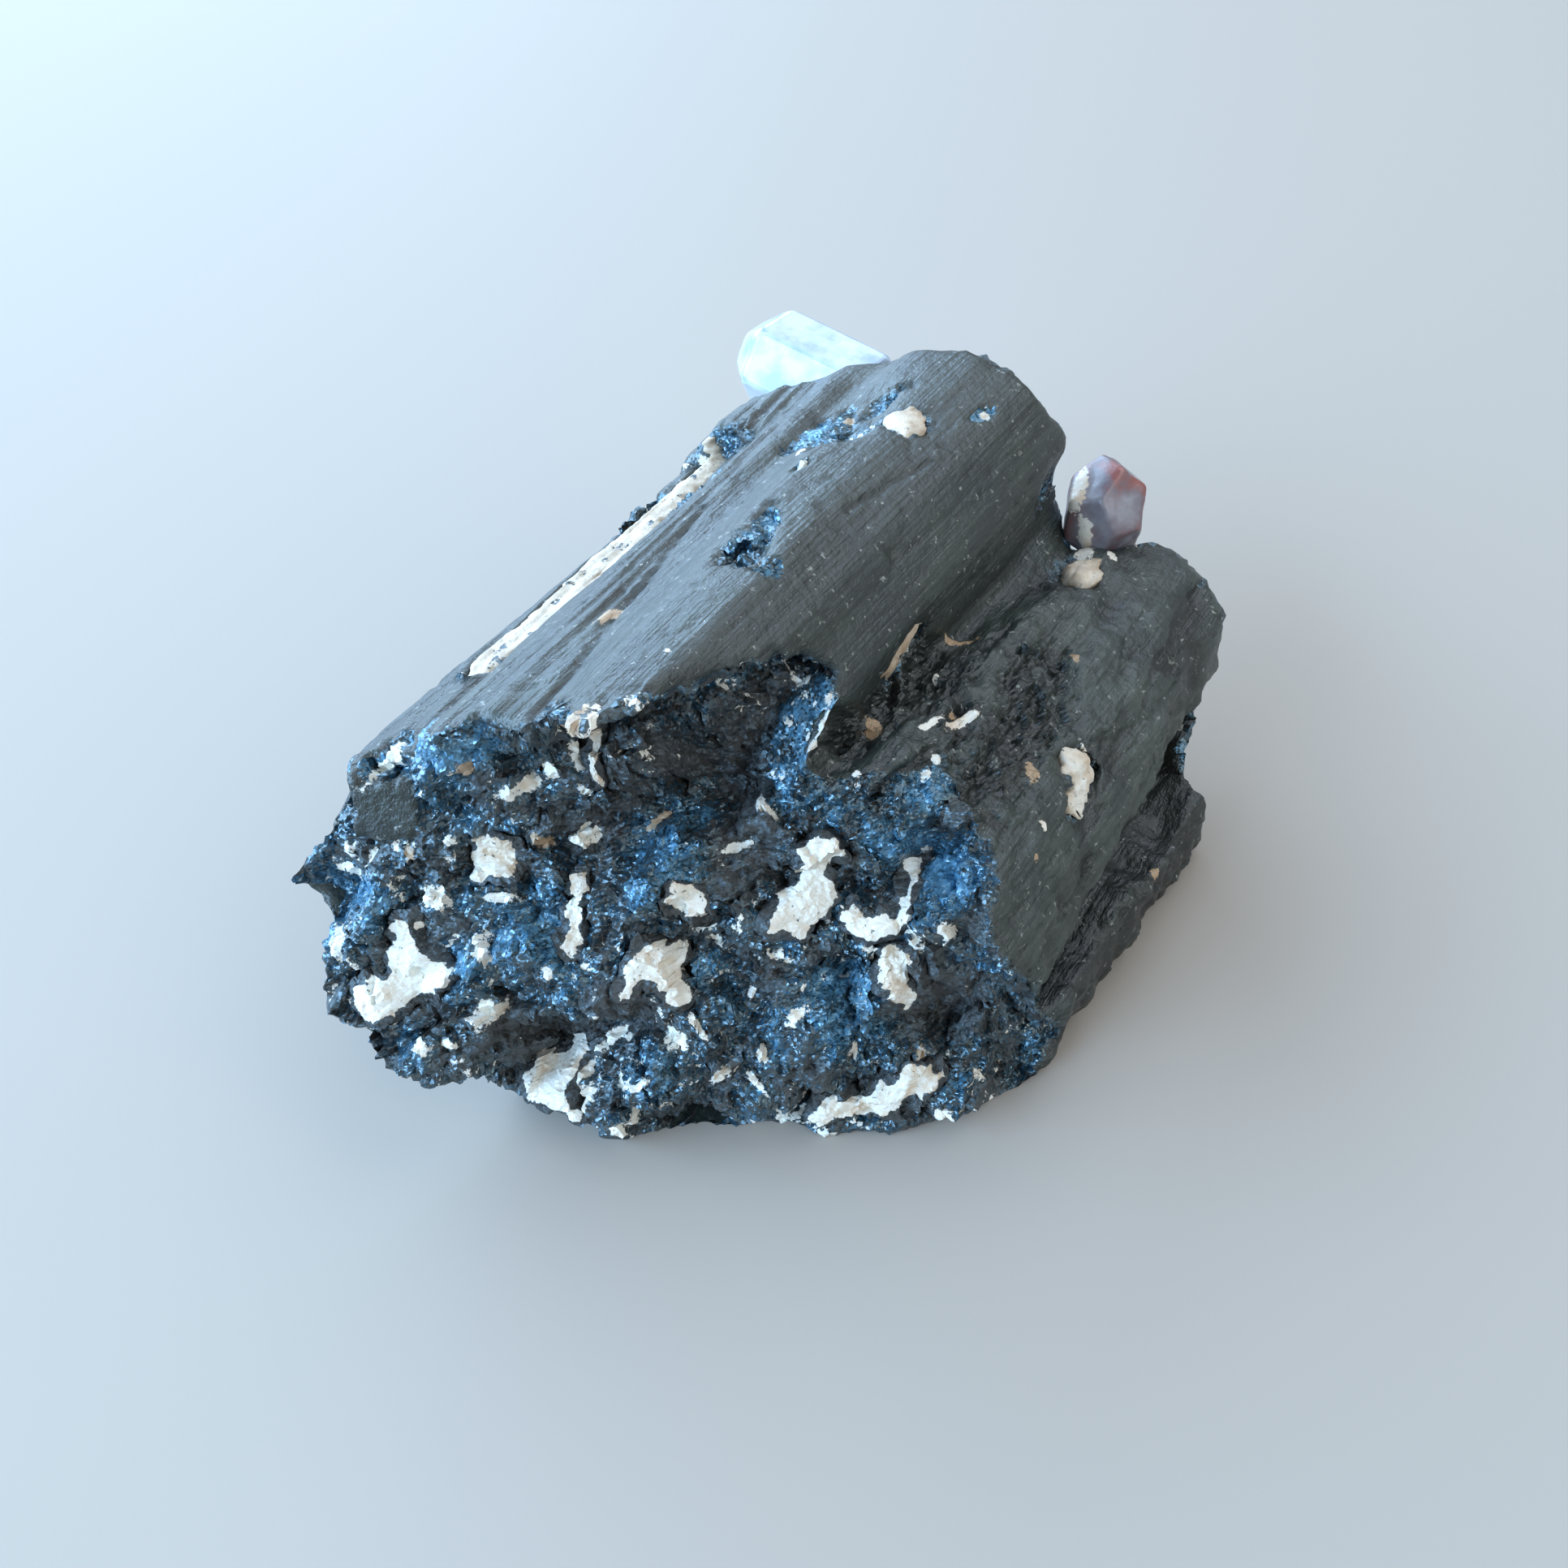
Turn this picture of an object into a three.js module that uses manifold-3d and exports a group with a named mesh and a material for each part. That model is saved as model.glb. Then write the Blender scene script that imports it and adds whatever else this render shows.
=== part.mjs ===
// Black tourmaline (schorl) hand specimen with feldspar, a quartz crystal and a garnet grown on it.
//
// Millimetres, +Z up. The prisms lie along Y: -Y is the freshly broken near end, +Y the far end.
// The stone lies on a worn prism face, cut flat at z = 0, and the origin is the middle of its box at z = 0.
import * as THREE from "three";
import { mergeVertices } from "three/addons/utils/BufferGeometryUtils.js";
import { ImprovedNoise } from "three/addons/math/ImprovedNoise.js";
import Module from "manifold-3d";

const wasm = await Module();
wasm.setup();
const noise = new ImprovedNoise();

// ---- Driving dimensions -------------------------------------------------------------------
const NEAR_STOCK = -50; // where the uncut prisms start, in front of the broken near end
const FAR_STOCK = 7; // how far the uncut prisms run on past their far ends
const OUTLINE_STEP = 2.6; // distance between the points round a prism
const LENGTH_STEP = 5; // distance between the rings along a prism
const STRIATION = 0.45; // height of the ribs along a prism face
const SOCKET_GAP = 0.35; // clearance between a mineral grain and the tourmaline round it
const GRAIN_DEPTH = 3; // how far a grain goes in below the surface
const GRAIN_PROUD = 0.6; // how far a grain stands out of the surface
const BREAK_STEP = 2.25; // distance between the points across a broken end
const BREAK_ROUGH = 1.7; // height of the lumps on a broken end

// ---- Materials ----------------------------------------------------------------------------
const schorl = new THREE.MeshStandardMaterial({ color: "#23272b", roughness: 0.45 });
const feldspar = new THREE.MeshStandardMaterial({ color: "#e6dcc9", roughness: 0.6 });
const milkyQuartz = new THREE.MeshStandardMaterial({ color: "#dfe7ee", roughness: 0.25 });
const garnet = new THREE.MeshStandardMaterial({ color: "#5a3a42", roughness: 0.35 });

// ---- Between surfaces and solids ----------------------------------------------------------
function toSolid(geometry) {
  const bare = geometry.index ? geometry.toNonIndexed() : geometry.clone();
  bare.deleteAttribute("normal");
  bare.deleteAttribute("uv");
  const merged = mergeVertices(bare, 1e-4);
  const mesh = new wasm.Mesh({
    numProp: 3,
    vertProperties: new Float32Array(merged.attributes.position.array),
    triVerts: new Uint32Array(merged.index.array),
  });
  return new wasm.Manifold(mesh);
}

function toGeometry(solid) {
  const mesh = solid.getMesh();
  const geometry = new THREE.BufferGeometry();
  geometry.setAttribute("position", new THREE.BufferAttribute(new Float32Array(mesh.vertProperties), 3));
  geometry.setIndex(new THREE.BufferAttribute(new Uint32Array(mesh.triVerts), 1));
  geometry.computeVertexNormals();
  return geometry;
}

// Moves every vertex of a geometry by a function of its place.
function reshape(geometry, move) {
  const place = geometry.attributes.position;
  const point = new THREE.Vector3();
  for (let i = 0; i < place.count; i++) {
    point.fromBufferAttribute(place, i);
    move(point);
    place.setXYZ(i, point.x, point.y, point.z);
  }
  return geometry;
}

// ---- Prisms -------------------------------------------------------------------------------
// Points every few millimetres along a closed outline, so that its sides can carry ribs. A second
// outline with as many corners, the far one, is walked in step with the first.
function densify(outline, farOutline) {
  const dense = [];
  outline.forEach((corner, i) => {
    const next = (i + 1) % outline.length;
    const side = Math.hypot(outline[next][0] - corner[0], outline[next][1] - corner[1]);
    const parts = Math.max(1, Math.round(side / OUTLINE_STEP));
    for (let k = 0; k < parts; k++) {
      const near = new THREE.Vector2(...corner).lerp(new THREE.Vector2(...outline[next]), k / parts);
      const far = new THREE.Vector2(...farOutline[i]).lerp(new THREE.Vector2(...farOutline[next]), k / parts);
      dense.push({ near, far });
    }
  });
  return dense;
}

// One tourmaline prism: its cross-section in XZ, run along Y from the broken end to its own far end,
// where it has become the far outline, and on by FAR_STOCK. Its ribs follow its length.
function prism({ outline, farOutline = outline, from = NEAR_STOCK, to, seed = 0 }) {
  const dense = densify(outline, farOutline);
  const length = to + FAR_STOCK - from;
  const geometry = new THREE.ExtrudeGeometry(new THREE.Shape(dense.map(({ near }) => near)), {
    depth: length,
    steps: Math.round(length / LENGTH_STEP),
    bevelEnabled: false,
  });
  geometry.rotateX(Math.PI / 2);
  geometry.translate(0, from + length, 0);
  const middle = outline.reduce((sum, [x, z]) => [sum[0] + x, sum[1] + z], [0, 0]);
  const [middleX, middleZ] = middle.map((total) => total / outline.length);
  reshape(geometry, (p) => {
    const here = dense.find(({ near }) => Math.hypot(near.x - p.x, near.y - p.z) < 1e-3);
    const share = (p.y - from) / (to - from);
    const turn = Math.atan2(p.z - middleZ, p.x - middleX);
    const rib = noise.noise(turn * 3.1 + seed, p.y * 0.03, seed * 1.7);
    const swell = noise.noise(seed, p.y * 0.06, turn);
    const grow = STRIATION * (2 * rib + swell);
    p.x += (here.far.x - here.near.x) * share + grow * Math.cos(turn);
    p.z += (here.far.y - here.near.y) * share + grow * Math.sin(turn);
  });
  return toSolid(geometry);
}

const prisms = {
  core: {
    outline: [[-6, -2], [25, -2], [26, 6], [24, 13], [15, 24], [7, 27], [0, 33], [-12, 32], [-20, 27],
      [-23, 21], [-22, 17], [-18.5, 9.5], [-12.5, 3.6]],
    farOutline: [[-6, -2], [24, -2], [25, 6], [22, 12], [14, 20], [7, 23], [-2, 31], [-13, 31], [-21, 27],
      [-24, 20], [-23, 15], [-18, 8], [-10, 3]],
    to: 35, seed: 1,
  },
  crown: {
    outline: [[-10, 30], [-7, 36.5], [-2.5, 39.5], [1, 39.3], [5, 36], [7.5, 31], [5, 25], [-8, 25]],
    farOutline: [[-15, 29], [-13.5, 34.5], [-9, 37.8], [-3, 39.3], [3, 37.4], [7, 32.5], [7.5, 26],
      [-12, 25]],
    to: 36.5, seed: 2,
  },
  leftShoulder: {
    outline: [[-18.5, 25], [-17.8, 29.8], [-15.5, 32.5], [-12, 35], [-7, 36], [-9, 25]],
    farOutline: [[-20, 25], [-19, 30.5], [-17.3, 33.2], [-14.5, 36], [-12, 35.8], [-11, 25]],
    to: 30, seed: 3,
  },
  leftFar: {
    outline: [[-26, 23], [-25.5, 28.5], [-22.5, 31.8], [-18, 34], [-14, 30], [-17, 23]],
    from: 19, to: 29, seed: 8,
  },
  leftUnder: {
    outline: [[-20, 13], [-18, 8.5], [-13, 4.5], [-8, 5], [-6, 10], [-12, 16]],
    from: -29, to: 26, seed: 9,
  },
  leftRim: {
    outline: [[-24.5, 19], [-25, 23.7], [-23.6, 27], [-17.5, 29.8], [-18, 18], [-23, 15]],
    farOutline: [[-26, 20], [-25.8, 25], [-24.5, 27.6], [-18.5, 31], [-19, 18], [-24, 15]],
    to: 22, seed: 4,
  },
  leftTip: {
    outline: [[-26, 17.5], [-25, 21], [-22, 22], [-20, 20.5], [-20.5, 16.5], [-23.5, 15]],
    from: -36, to: 0, seed: 5,
  },
  right: {
    outline: [[4, 22], [7, 30.5], [10, 31], [15, 28.5], [21, 23.5], [26, 17], [28.5, 10], [25, 6], [12, 10]],
    farOutline: [[6, 16], [8.5, 21.5], [12, 22.5], [17, 21.5], [22, 19.5], [24.5, 16], [24.5, 9], [22, 5],
      [12, 8]],
    to: 39, seed: 6,
  },
  rightFoot: {
    outline: [[14, -2], [26, -2], [28, 3], [27.5, 7], [25, 10], [18, 12]],
    farOutline: [[16, -2], [28, -2], [30, 3], [29.5, 7], [26.5, 9.5], [19, 11]],
    from: -24, to: 24.5, seed: 7,
  },
};

// ---- The broken near end --------------------------------------------------------------------
// How far back the break lies (y) at places across the bundle (x, z).
const brokenEnd = [
  // x, z, y
  [-24, 19, -36], [-19, 12, -39], [-12, 9, -40], [-8, 9, -38.5], [-7, 4, -34],
  [-4, 9, -26.5], [-1, 10, -27.5], [-3, 4, -33], [0, 1, -31.5], [3, 6, -33], [8, 3, -28],
  [-6, 14, -33], [-1, 14, -32], [3, 12, -28.5],
  [14, 1, -23], [20, 1, -19.5], [25, 1, -15.5], [28, 1, -8], [29, 4, -4],
  [27.5, 9, -8.5], [20, 14, -12], [18, 23, -5.5], [14, 27, -1.5], [9, 30, -6],
  [5, 37, -12], [7, 33, -8], [0, 39, -22], [-3, 38, -26],
  [-8, 35, -27], [-14, 33, -29], [-20, 30, -28], [-20, 25, -31], [-24, 25, -28],
  [-12, 26, -28], [-6, 27, -26], [-8, 18, -33], [0, 20, -27], [7, 18, -22], [12, 10, -22],
  [-4, 32, -14], [-1, 33, -8], [2.5, 34, -4], [6.3, 35, -7], [-1, 28, -10], [2.5, 27, -7],
  [6.6, 27, -11], [9, 27, -10], [-3, 24, -20],
];

// ---- The far end ----------------------------------------------------------------------------
// Where each prism stops (y) at places across the bundle (x, z).
const farEnd = [
  // x, z, y
  [-25, 22, 21], [-25, 27, 20], [-22, 19, 26], [-24, 31, 27], [-20, 33, 28.5], [-16, 35, 30], [-14, 32, 31],
  [-20, 12, 25], [-12, 5, 26], [-14, 20, 35], [-9, 9, 33],
  [0, 20, 38], [0, 5, 36], [10, 5, 33], [-10, 28, 36], [12, 14, 36],
  [-5, 38.5, 33.5], [-10, 36, 34], [2, 37, 35], [6, 31, 36], [-3, 33, 37.5],
  [12, 21, 38], [17, 20, 39.5], [22, 17, 38.5], [24, 12, 37.5], [18, 12, 39.5],
  [22, 4, 30], [28, 4, 24], [28, 8, 23.5], [24, 1, 27],
];

// The surface through all the listed places, at any place between them.
function surfaceAt(places, x, z) {
  let sum = 0;
  let total = 0;
  for (const [px, pz, y] of places) {
    const weight = 1 / (Math.hypot(x - px, z - pz) + 0.5) ** 3.5;
    sum += weight * y;
    total += weight;
  }
  return sum / total;
}

// The waste beyond an end: a block whose face towards the stone is the broken surface.
function endWaste(places, side, seed) {
  const [width, height] = [72, 54];
  const block = new THREE.BoxGeometry(width, 80, height, width / BREAK_STEP, 1, height / BREAK_STEP);
  block.translate(0, side * 90, height / 2 - 7);
  reshape(block, (p) => {
    if (p.y * side > 90) return;
    const lumps = noise.noise(p.x * 0.16, p.z * 0.16, seed + 3.5);
    const grains = noise.noise(p.x * 0.43, p.z * 0.43, seed + 8.5);
    p.y = surfaceAt(places, p.x, p.z) + BREAK_ROUGH * (lumps + 0.6 * grains);
  });
  return toSolid(block);
}

// ---- Chips out of the prism faces -----------------------------------------------------------
// A rough ball of waste: middle, radii and turn about Z.
const chips = [
  { at: [-4.6, -3, 40.8], radii: [3.2, 3.6, 3.2], turn: 0.3, seed: 31 },
  { at: [-8.5, 20.5, 40.2], radii: [4, 9, 4.4], turn: 0.1, seed: 32 },
  { at: [8.5, 33, 28], radii: [3, 5, 4], seed: 33 },
  { at: [28.5, 14, 20], radii: [4, 7, 4.5], turn: 0.2, seed: 34 },
];

function chipWaste({ at, radii, turn = 0, seed }) {
  const ball = new THREE.IcosahedronGeometry(1, 3);
  reshape(ball, (p) => {
    p.multiplyScalar(1 + 0.22 * noise.noise(p.x * 1.6 + seed, p.y * 1.6, p.z * 1.6 + seed));
  });
  return toSolid(ball.scale(...radii).rotateZ(turn).translate(...at));
}

// ---- The tourmaline before its sockets are cut ------------------------------------------------
function uncutStone() {
  let stone = Object.values(prisms).map(prism).reduce((a, b) => a.add(b));
  stone = stone.subtract(endWaste(brokenEnd, -1, 0)).subtract(endWaste(farEnd, 1, 20));
  for (const chip of chips) stone = stone.subtract(chipWaste(chip));
  const table = toSolid(new THREE.BoxGeometry(200, 200, 40).translate(0, 0, -20));
  return stone.subtract(table);
}

// ---- Feldspar grains ------------------------------------------------------------------------
// Each grain is an outline on the stone's surface, in millimetres to the right and up as one looks
// straight at that surface. It goes GRAIN_DEPTH in and follows the surface on top, a little proud.
const grains = {
  feldspar_wedge: {
    at: [9.6, -17.3, 21.4], facing: [0.6, -0.5, 0.6],
    outline: [[-3.6, -1.8], [-3.2, -3], [-0.9, -3.8], [1.5, -2.7], [2.5, -0.9], [2.6, 1], [4.6, 1.4],
      [5, 2.7], [3.3, 3.6], [2, 3], [0.3, 1.2], [-1.8, -0.3]],
  },
  feldspar_hook: {
    at: [14.6, -12.3, 18.2], facing: [0.6, -0.5, 0.6],
    outline: [[3.1, 2.8], [1.6, 2.4], [1.3, 0.2], [0.5, -1], [-1, -1.2], [-2.2, -0.2], [-3, 1],
      [-3.4, -0.6], [-2.8, -2], [-1, -2.8], [1, -2.6], [2.3, -1.2], [2.4, 1]],
  },
  feldspar_rag: {
    at: [17.2, -13.8, 13], facing: [0.68, -0.61, 0.41],
    outline: [[-1.6, 0.8], [-0.9, 2.4], [0.8, 2.6], [1.9, 1.4], [0.8, 0.2], [1.3, -2.4], [0.1, -3],
      [-0.5, -0.9], [-1.6, -0.6]],
  },
  feldspar_foot_band: {
    at: [18.7, -18.9, 4.2], facing: [0.5, -0.74, 0.45],
    outline: [[-5.8, -1.8], [-4.3, -0.3], [-1.5, -0.1], [0.9, 1.2], [2.7, 2.4], [5.6, 1.6], [4.6, 0.1],
      [1.6, -0.9], [0.3, -2.2], [-2.7, -1.9], [-5, -2.8]],
  },
  feldspar_corner: {
    at: [-3.5, -32, 4.5], facing: [0.3, -0.9, 0],
    outline: [[-3, 1.2], [-0.6, 2.1], [1.8, 2.4], [1.4, 0.6], [2.8, -2], [0.6, -1.6], [-2, -0.9]],
  },
  feldspar_left_patch: {
    at: [-14.2, -36.1, 15.3], facing: [0.1, -0.8, 0.6],
    outline: [[-1.8, 4.2], [-0.3, 4.5], [0.8, 2.2], [3.7, 1.2], [3.1, -0.4], [0.8, -2.2], [-0.7, -4.2],
      [-2.4, -4.6], [-4.1, -2.2], [-1.6, -0.9], [-1.4, 1.8]],
  },
  feldspar_bone: {
    at: [-3.9, -27.5, 20.4], facing: [0.5, -0.7, 0.5],
    outline: [[-1, 2.7], [1.2, 2.7], [1.5, 1.2], [0.8, 0], [0.8, -2.2], [-0.5, -3.4], [-1.5, -2.6],
      [-0.7, -1.5], [-0.5, 0.3], [-1.2, 1.5]],
  },
  feldspar_knot: {
    at: [-11.5, -28.3, 22.6], facing: [0.1, -0.8, 0.58],
    outline: [[-2, -0.6], [-1.6, 1.2], [-0.2, 1.9], [1.4, 1.5], [2, 0.2], [1.2, -1.4], [-0.6, -1.8]],
  },
  feldspar_fleck: {
    at: [3.9, -22.7, 21.6], facing: [0.58, -0.57, 0.59],
    outline: [[-0.2, 1.7], [0.9, 1.2], [1.4, -0.5], [0.6, -1.6], [-0.6, -1.2], [-1.3, -0.3]],
  },
  feldspar_fork: {
    at: [2.3, -25.5, 16], facing: [0.56, -0.68, 0.47],
    outline: [[-0.9, 2.8], [0.2, 2.4], [0.7, 1.3], [1.8, 1.6], [1.9, 0.4], [1, -0.2], [2.4, -2.6],
      [1.4, -3], [-0.1, -0.9], [-1.1, -0.4], [-1.6, -1.7], [-2.6, -1.3], [-2.1, 0.6], [-1, 1.2]],
  },
  feldspar_lip_streak: {
    at: [-6.1, -20, 30.2], facing: [0.62, -0.5, 0.6],
    outline: [[0.3, 2.4], [1.4, 2], [1, -0.6], [0.3, -2.7], [-1.2, -2.4], [-0.9, -0.9], [-0.4, 0.4]],
  },
  feldspar_side_patch: {
    at: [21, 6.6, 18.8], facing: [0.76, 0, 0.65],
    outline: [[-2.8, -1.4], [-1.2, -0.2], [-0.6, 1.2], [1.2, 1.8], [2.6, 0.8], [1.6, -0.6], [-0.6, -1.4],
      [-2, -2.2]],
  },
  feldspar_groove_streak: {
    at: [6.1, 4.5, 27.5], facing: [0.6, 0, 0.8],
    outline: [[-2.8, -0.6], [-1, 0.5], [1.6, 0.9], [2.6, 0.2], [0.8, -0.4], [-1.8, -1.3]],
  },
  feldspar_crown_patch: {
    at: [-2.7, 20.3, 38.4], facing: [0.14, 0.03, 0.99],
    outline: [[-1.6, -0.4], [-0.8, 1.2], [1.2, 1.8], [1.8, 0.4], [0.8, -1.4], [-0.6, -1.6]],
  },
  feldspar_left_vein: {
    at: [-20.9, 2, 28.2], facing: [-0.47, 0, 0.88],
    outline: [[-18, -0.4], [-12, -1.1], [-4, -1.5], [4, -1.7], [12, -1.5], [18, -1.2], [19, 0.2],
      [15, 1.3], [8, 1.5], [0, 1.7], [-8, 1.3], [-16, 0.8]],
  },
  feldspar_far_patch: {
    at: [12, 29, 24], facing: [0.35, 0.1, 0.93],
    outline: [[-2.2, -1], [-1.2, 0.9], [0.8, 1.4], [2.6, 0.6], [1.8, -0.9], [0, -1.5]],
  },
};

// A frame whose x and y lie in a face and whose z is the face's outward normal.
function faceFrame(at, facing) {
  const out = new THREE.Vector3(...facing).normalize();
  const right = new THREE.Vector3(0, 0, 1).cross(out).normalize();
  const up = out.clone().cross(right);
  return new THREE.Matrix4().makeBasis(right, up, out).setPosition(...at);
}

// The outline run through the surface, from below it to above it, `gap` larger all round.
function plug({ at, facing, outline }, below, above, gap) {
  const shape = new THREE.Shape(outline.map(([x, y]) => new THREE.Vector2(x, y)));
  const bevel = { bevelEnabled: gap > 0, bevelSize: gap, bevelThickness: gap, bevelSegments: 1 };
  const geometry = new THREE.ExtrudeGeometry(shape, { depth: below + above, steps: 1, ...bevel });
  geometry.translate(0, 0, -below);
  return toSolid(geometry.applyMatrix4(faceFrame(at, facing)));
}

const largest = (solid) => solid.decompose().reduce((a, b) => (a.volume() > b.volume() ? a : b));

function grain(spec, stone) {
  const proud = new THREE.Vector3(...spec.facing).setLength(GRAIN_PROUD).toArray();
  return largest(plug(spec, GRAIN_DEPTH, 4, 0).intersect(stone.translate(proud)));
}

// ---- Quartz and garnet ----------------------------------------------------------------------
// A quartz crystal: six sides and a blunt point, lying across the far left corner of the bundle.
function quartzCrystal(grow = 0) {
  const radius = 5.3 + grow;
  const profile = [[0, -7 - grow], [radius, -7 - grow], [radius, 5], [2.8, 7.6 + grow], [0, 8.2 + grow]];
  const points = profile.map(([r, y]) => new THREE.Vector2(r, y));
  const geometry = new THREE.LatheGeometry(points, 6);
  geometry.rotateY(0.5).rotateZ(Math.PI / 2 - 0.1).rotateY(0.1);
  return toSolid(geometry.translate(-21, 35.5, 29.8));
}

// A garnet: a stubby twelve-sided crystal standing in the groove at the far end.
function garnetCrystal(grow = 0) {
  const geometry = new THREE.DodecahedronGeometry(5.4 + grow);
  geometry.rotateX(0.5).rotateY(0.3);
  return toSolid(geometry.scale(0.8, 0.9, 1.1).translate(10.2, 38, 23.8));
}

// ---- Assembly -------------------------------------------------------------------------------
const specimen = new THREE.Group();

function addNode(name, solid, material) {
  const mesh = new THREE.Mesh(toGeometry(solid), material);
  mesh.name = name;
  specimen.add(mesh);
}

// The tourmaline with a socket for each mineral, open all the way out.
function schorlWithSockets(stone) {
  let cut = stone.subtract(quartzCrystal(SOCKET_GAP)).subtract(garnetCrystal(SOCKET_GAP));
  for (const spec of Object.values(grains)) {
    cut = cut.subtract(plug(spec, GRAIN_DEPTH, 8, SOCKET_GAP));
  }
  return cut;
}

const stone = uncutStone();
addNode("schorl_cluster", schorlWithSockets(stone), schorl);
for (const [name, spec] of Object.entries(grains)) addNode(name, grain(spec, stone), feldspar);
addNode("quartz_crystal", quartzCrystal(), milkyQuartz);
addNode("garnet_crystal", garnetCrystal(), garnet);

// The origin goes to the middle of the box, on the plane the stone rests on.
const middle = new THREE.Box3().setFromObject(specimen).getCenter(new THREE.Vector3());
for (const mesh of specimen.children) mesh.geometry.translate(-middle.x, -middle.y, 0);

export default specimen;
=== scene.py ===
# %% [markdown]
# # A hand specimen of black tourmaline
#
# Schorl, the black tourmaline, grows in long prisms with ribs down their sides. This stone is a bundle of
# them, grown together and snapped off at both ends. The sides are satin and faintly olive. The breaks are
# coal black and sugary, and every grain in them flashes when it faces the light. Cream feldspar fills
# gaps in the bundle, and a quartz crystal and a garnet sit at the far end.
#
# The solid model gives the form of the stone and of each larger grain of another mineral. This script
# gives them their skin: the ribs, the rubble of the breaks, the ragged edges of the feldspar, the small
# patches and chips, and the finish of each mineral.

# %% Load the solid model
import math

import bmesh
import bpy
from mathutils import Matrix, Vector, noise
from mathutils.bvhtree import BVHTree
from mathutils.kdtree import KDTree


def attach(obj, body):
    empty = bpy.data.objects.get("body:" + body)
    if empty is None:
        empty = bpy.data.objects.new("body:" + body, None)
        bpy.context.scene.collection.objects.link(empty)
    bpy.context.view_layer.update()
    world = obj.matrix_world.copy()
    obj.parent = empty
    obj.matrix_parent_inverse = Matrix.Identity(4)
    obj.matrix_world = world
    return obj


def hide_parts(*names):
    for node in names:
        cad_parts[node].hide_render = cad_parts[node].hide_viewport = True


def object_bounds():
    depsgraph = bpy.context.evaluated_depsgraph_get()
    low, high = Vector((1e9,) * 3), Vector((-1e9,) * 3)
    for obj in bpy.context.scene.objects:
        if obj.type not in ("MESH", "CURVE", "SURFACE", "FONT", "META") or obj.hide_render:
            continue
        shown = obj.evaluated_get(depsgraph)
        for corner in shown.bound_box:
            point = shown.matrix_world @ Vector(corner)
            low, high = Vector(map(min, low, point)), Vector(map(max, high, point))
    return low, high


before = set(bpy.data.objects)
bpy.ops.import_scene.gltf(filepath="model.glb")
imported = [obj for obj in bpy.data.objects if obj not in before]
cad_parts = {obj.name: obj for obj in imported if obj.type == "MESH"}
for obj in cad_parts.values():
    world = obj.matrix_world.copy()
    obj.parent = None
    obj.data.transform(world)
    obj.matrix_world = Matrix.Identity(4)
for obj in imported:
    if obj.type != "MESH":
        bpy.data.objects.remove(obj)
cad_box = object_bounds()
MM = 0.001
ALONG = Vector((0, 1, 0))  # the prisms lie along Y, with the fresh break at the low end
print("solid model, mm:", [round(side / MM, 1) for side in cad_box[1] - cad_box[0]])

# %% [markdown]
# ## The camera
#
# The stone is looked at from close by, from above and to the right of its broken end. A short distance
# makes the prisms draw together strongly, so the distance matters more than the lens.

# %% The camera
CAMERA_DISTANCE = 130 * MM
CAMERA_TURN = math.radians(32)  # round the stone, from straight in front of the break
CAMERA_LIFT = math.radians(44)  # above the table
AIM = Vector((1.2, -6.9, -0.8))  # the point it looks at, in mm from the middle of the stone
FILM = 36  # in mm; the lens is as long as the film is wide

middle = (cad_box[0] + cad_box[1]) / 2
aim = middle + AIM * MM
back = Vector((
    math.sin(CAMERA_TURN) * math.cos(CAMERA_LIFT),
    -math.cos(CAMERA_TURN) * math.cos(CAMERA_LIFT),
    math.sin(CAMERA_LIFT),
))
camera = bpy.data.objects.new("camera", bpy.data.cameras.new("camera"))
camera.data.lens = FILM
camera.data.sensor_width = FILM
camera.data.clip_start = 5 * MM
camera.matrix_world = (Matrix.Translation(aim + back * CAMERA_DISTANCE)
                       @ back.to_track_quat("Z", "Y").to_matrix().to_4x4())
bpy.context.scene.collection.objects.link(camera)
bpy.context.scene.camera = camera
print("camera, mm:", [round(part / MM) for part in camera.location])


# %% [markdown]
# ## The light
#
# Black stone shows its shape only by what it reflects. A wide cool window light stands on the stone's
# left, so the ribs catch it at a glance, and every grain of the break that leans its way throws it at the
# eye. A second cool one on the front left fills the break. A weak neutral one keeps the right side from
# going black, and a pale one above and behind lays a sheen on the ribs that face up.

# %% Colours, and a soft light
def colour(code):
    """An sRGB hex colour as the linear values that Blender works in."""
    parts = [int(code[i:i + 2], 16) / 255 for i in (1, 3, 5)]
    return [p / 12.92 if p <= 0.04045 else ((p + 0.055) / 1.055) ** 2.4 for p in parts] + [1]


def soft_light(name, towards, distance, size, watts, code):
    """A rectangular light that stands in a direction from the stone and faces it."""
    direction = Vector(towards).normalized()
    light = bpy.data.objects.new(name, bpy.data.lights.new(name, "AREA"))
    light.data.shape = "RECTANGLE"
    light.data.size, light.data.size_y = size
    light.data.energy = watts
    light.data.color = colour(code)[:3]
    light.matrix_world = (Matrix.Translation(middle + direction * distance)
                          @ direction.to_track_quat("Z", "Y").to_matrix().to_4x4())
    bpy.context.scene.collection.objects.link(light)


print("half-bright grey in linear light:", round(colour("#808080")[0], 3))

# %% The four lights and the glow of the room
LIGHTS = {  # direction from the stone, distance and two sides in metres, watts, tone
    "window": ((-0.90, 0.25, 0.36), 1.1, (1.6, 0.75), 28, "#b8dcff"),
    "front_left": ((-0.58, -0.78, 0.40), 1.1, (1.4, 0.7), 36, "#acd6ff"),
    "right_fill": ((0.80, -0.10, 0.60), 1.2, (1.2, 0.8), 6, "#eef4f6"),
    "overhead": ((0.05, 0.60, 0.80), 1.2, (1.5, 0.8), 9, "#e2efff"),
}
ROOM_GLOW = 0.38

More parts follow.
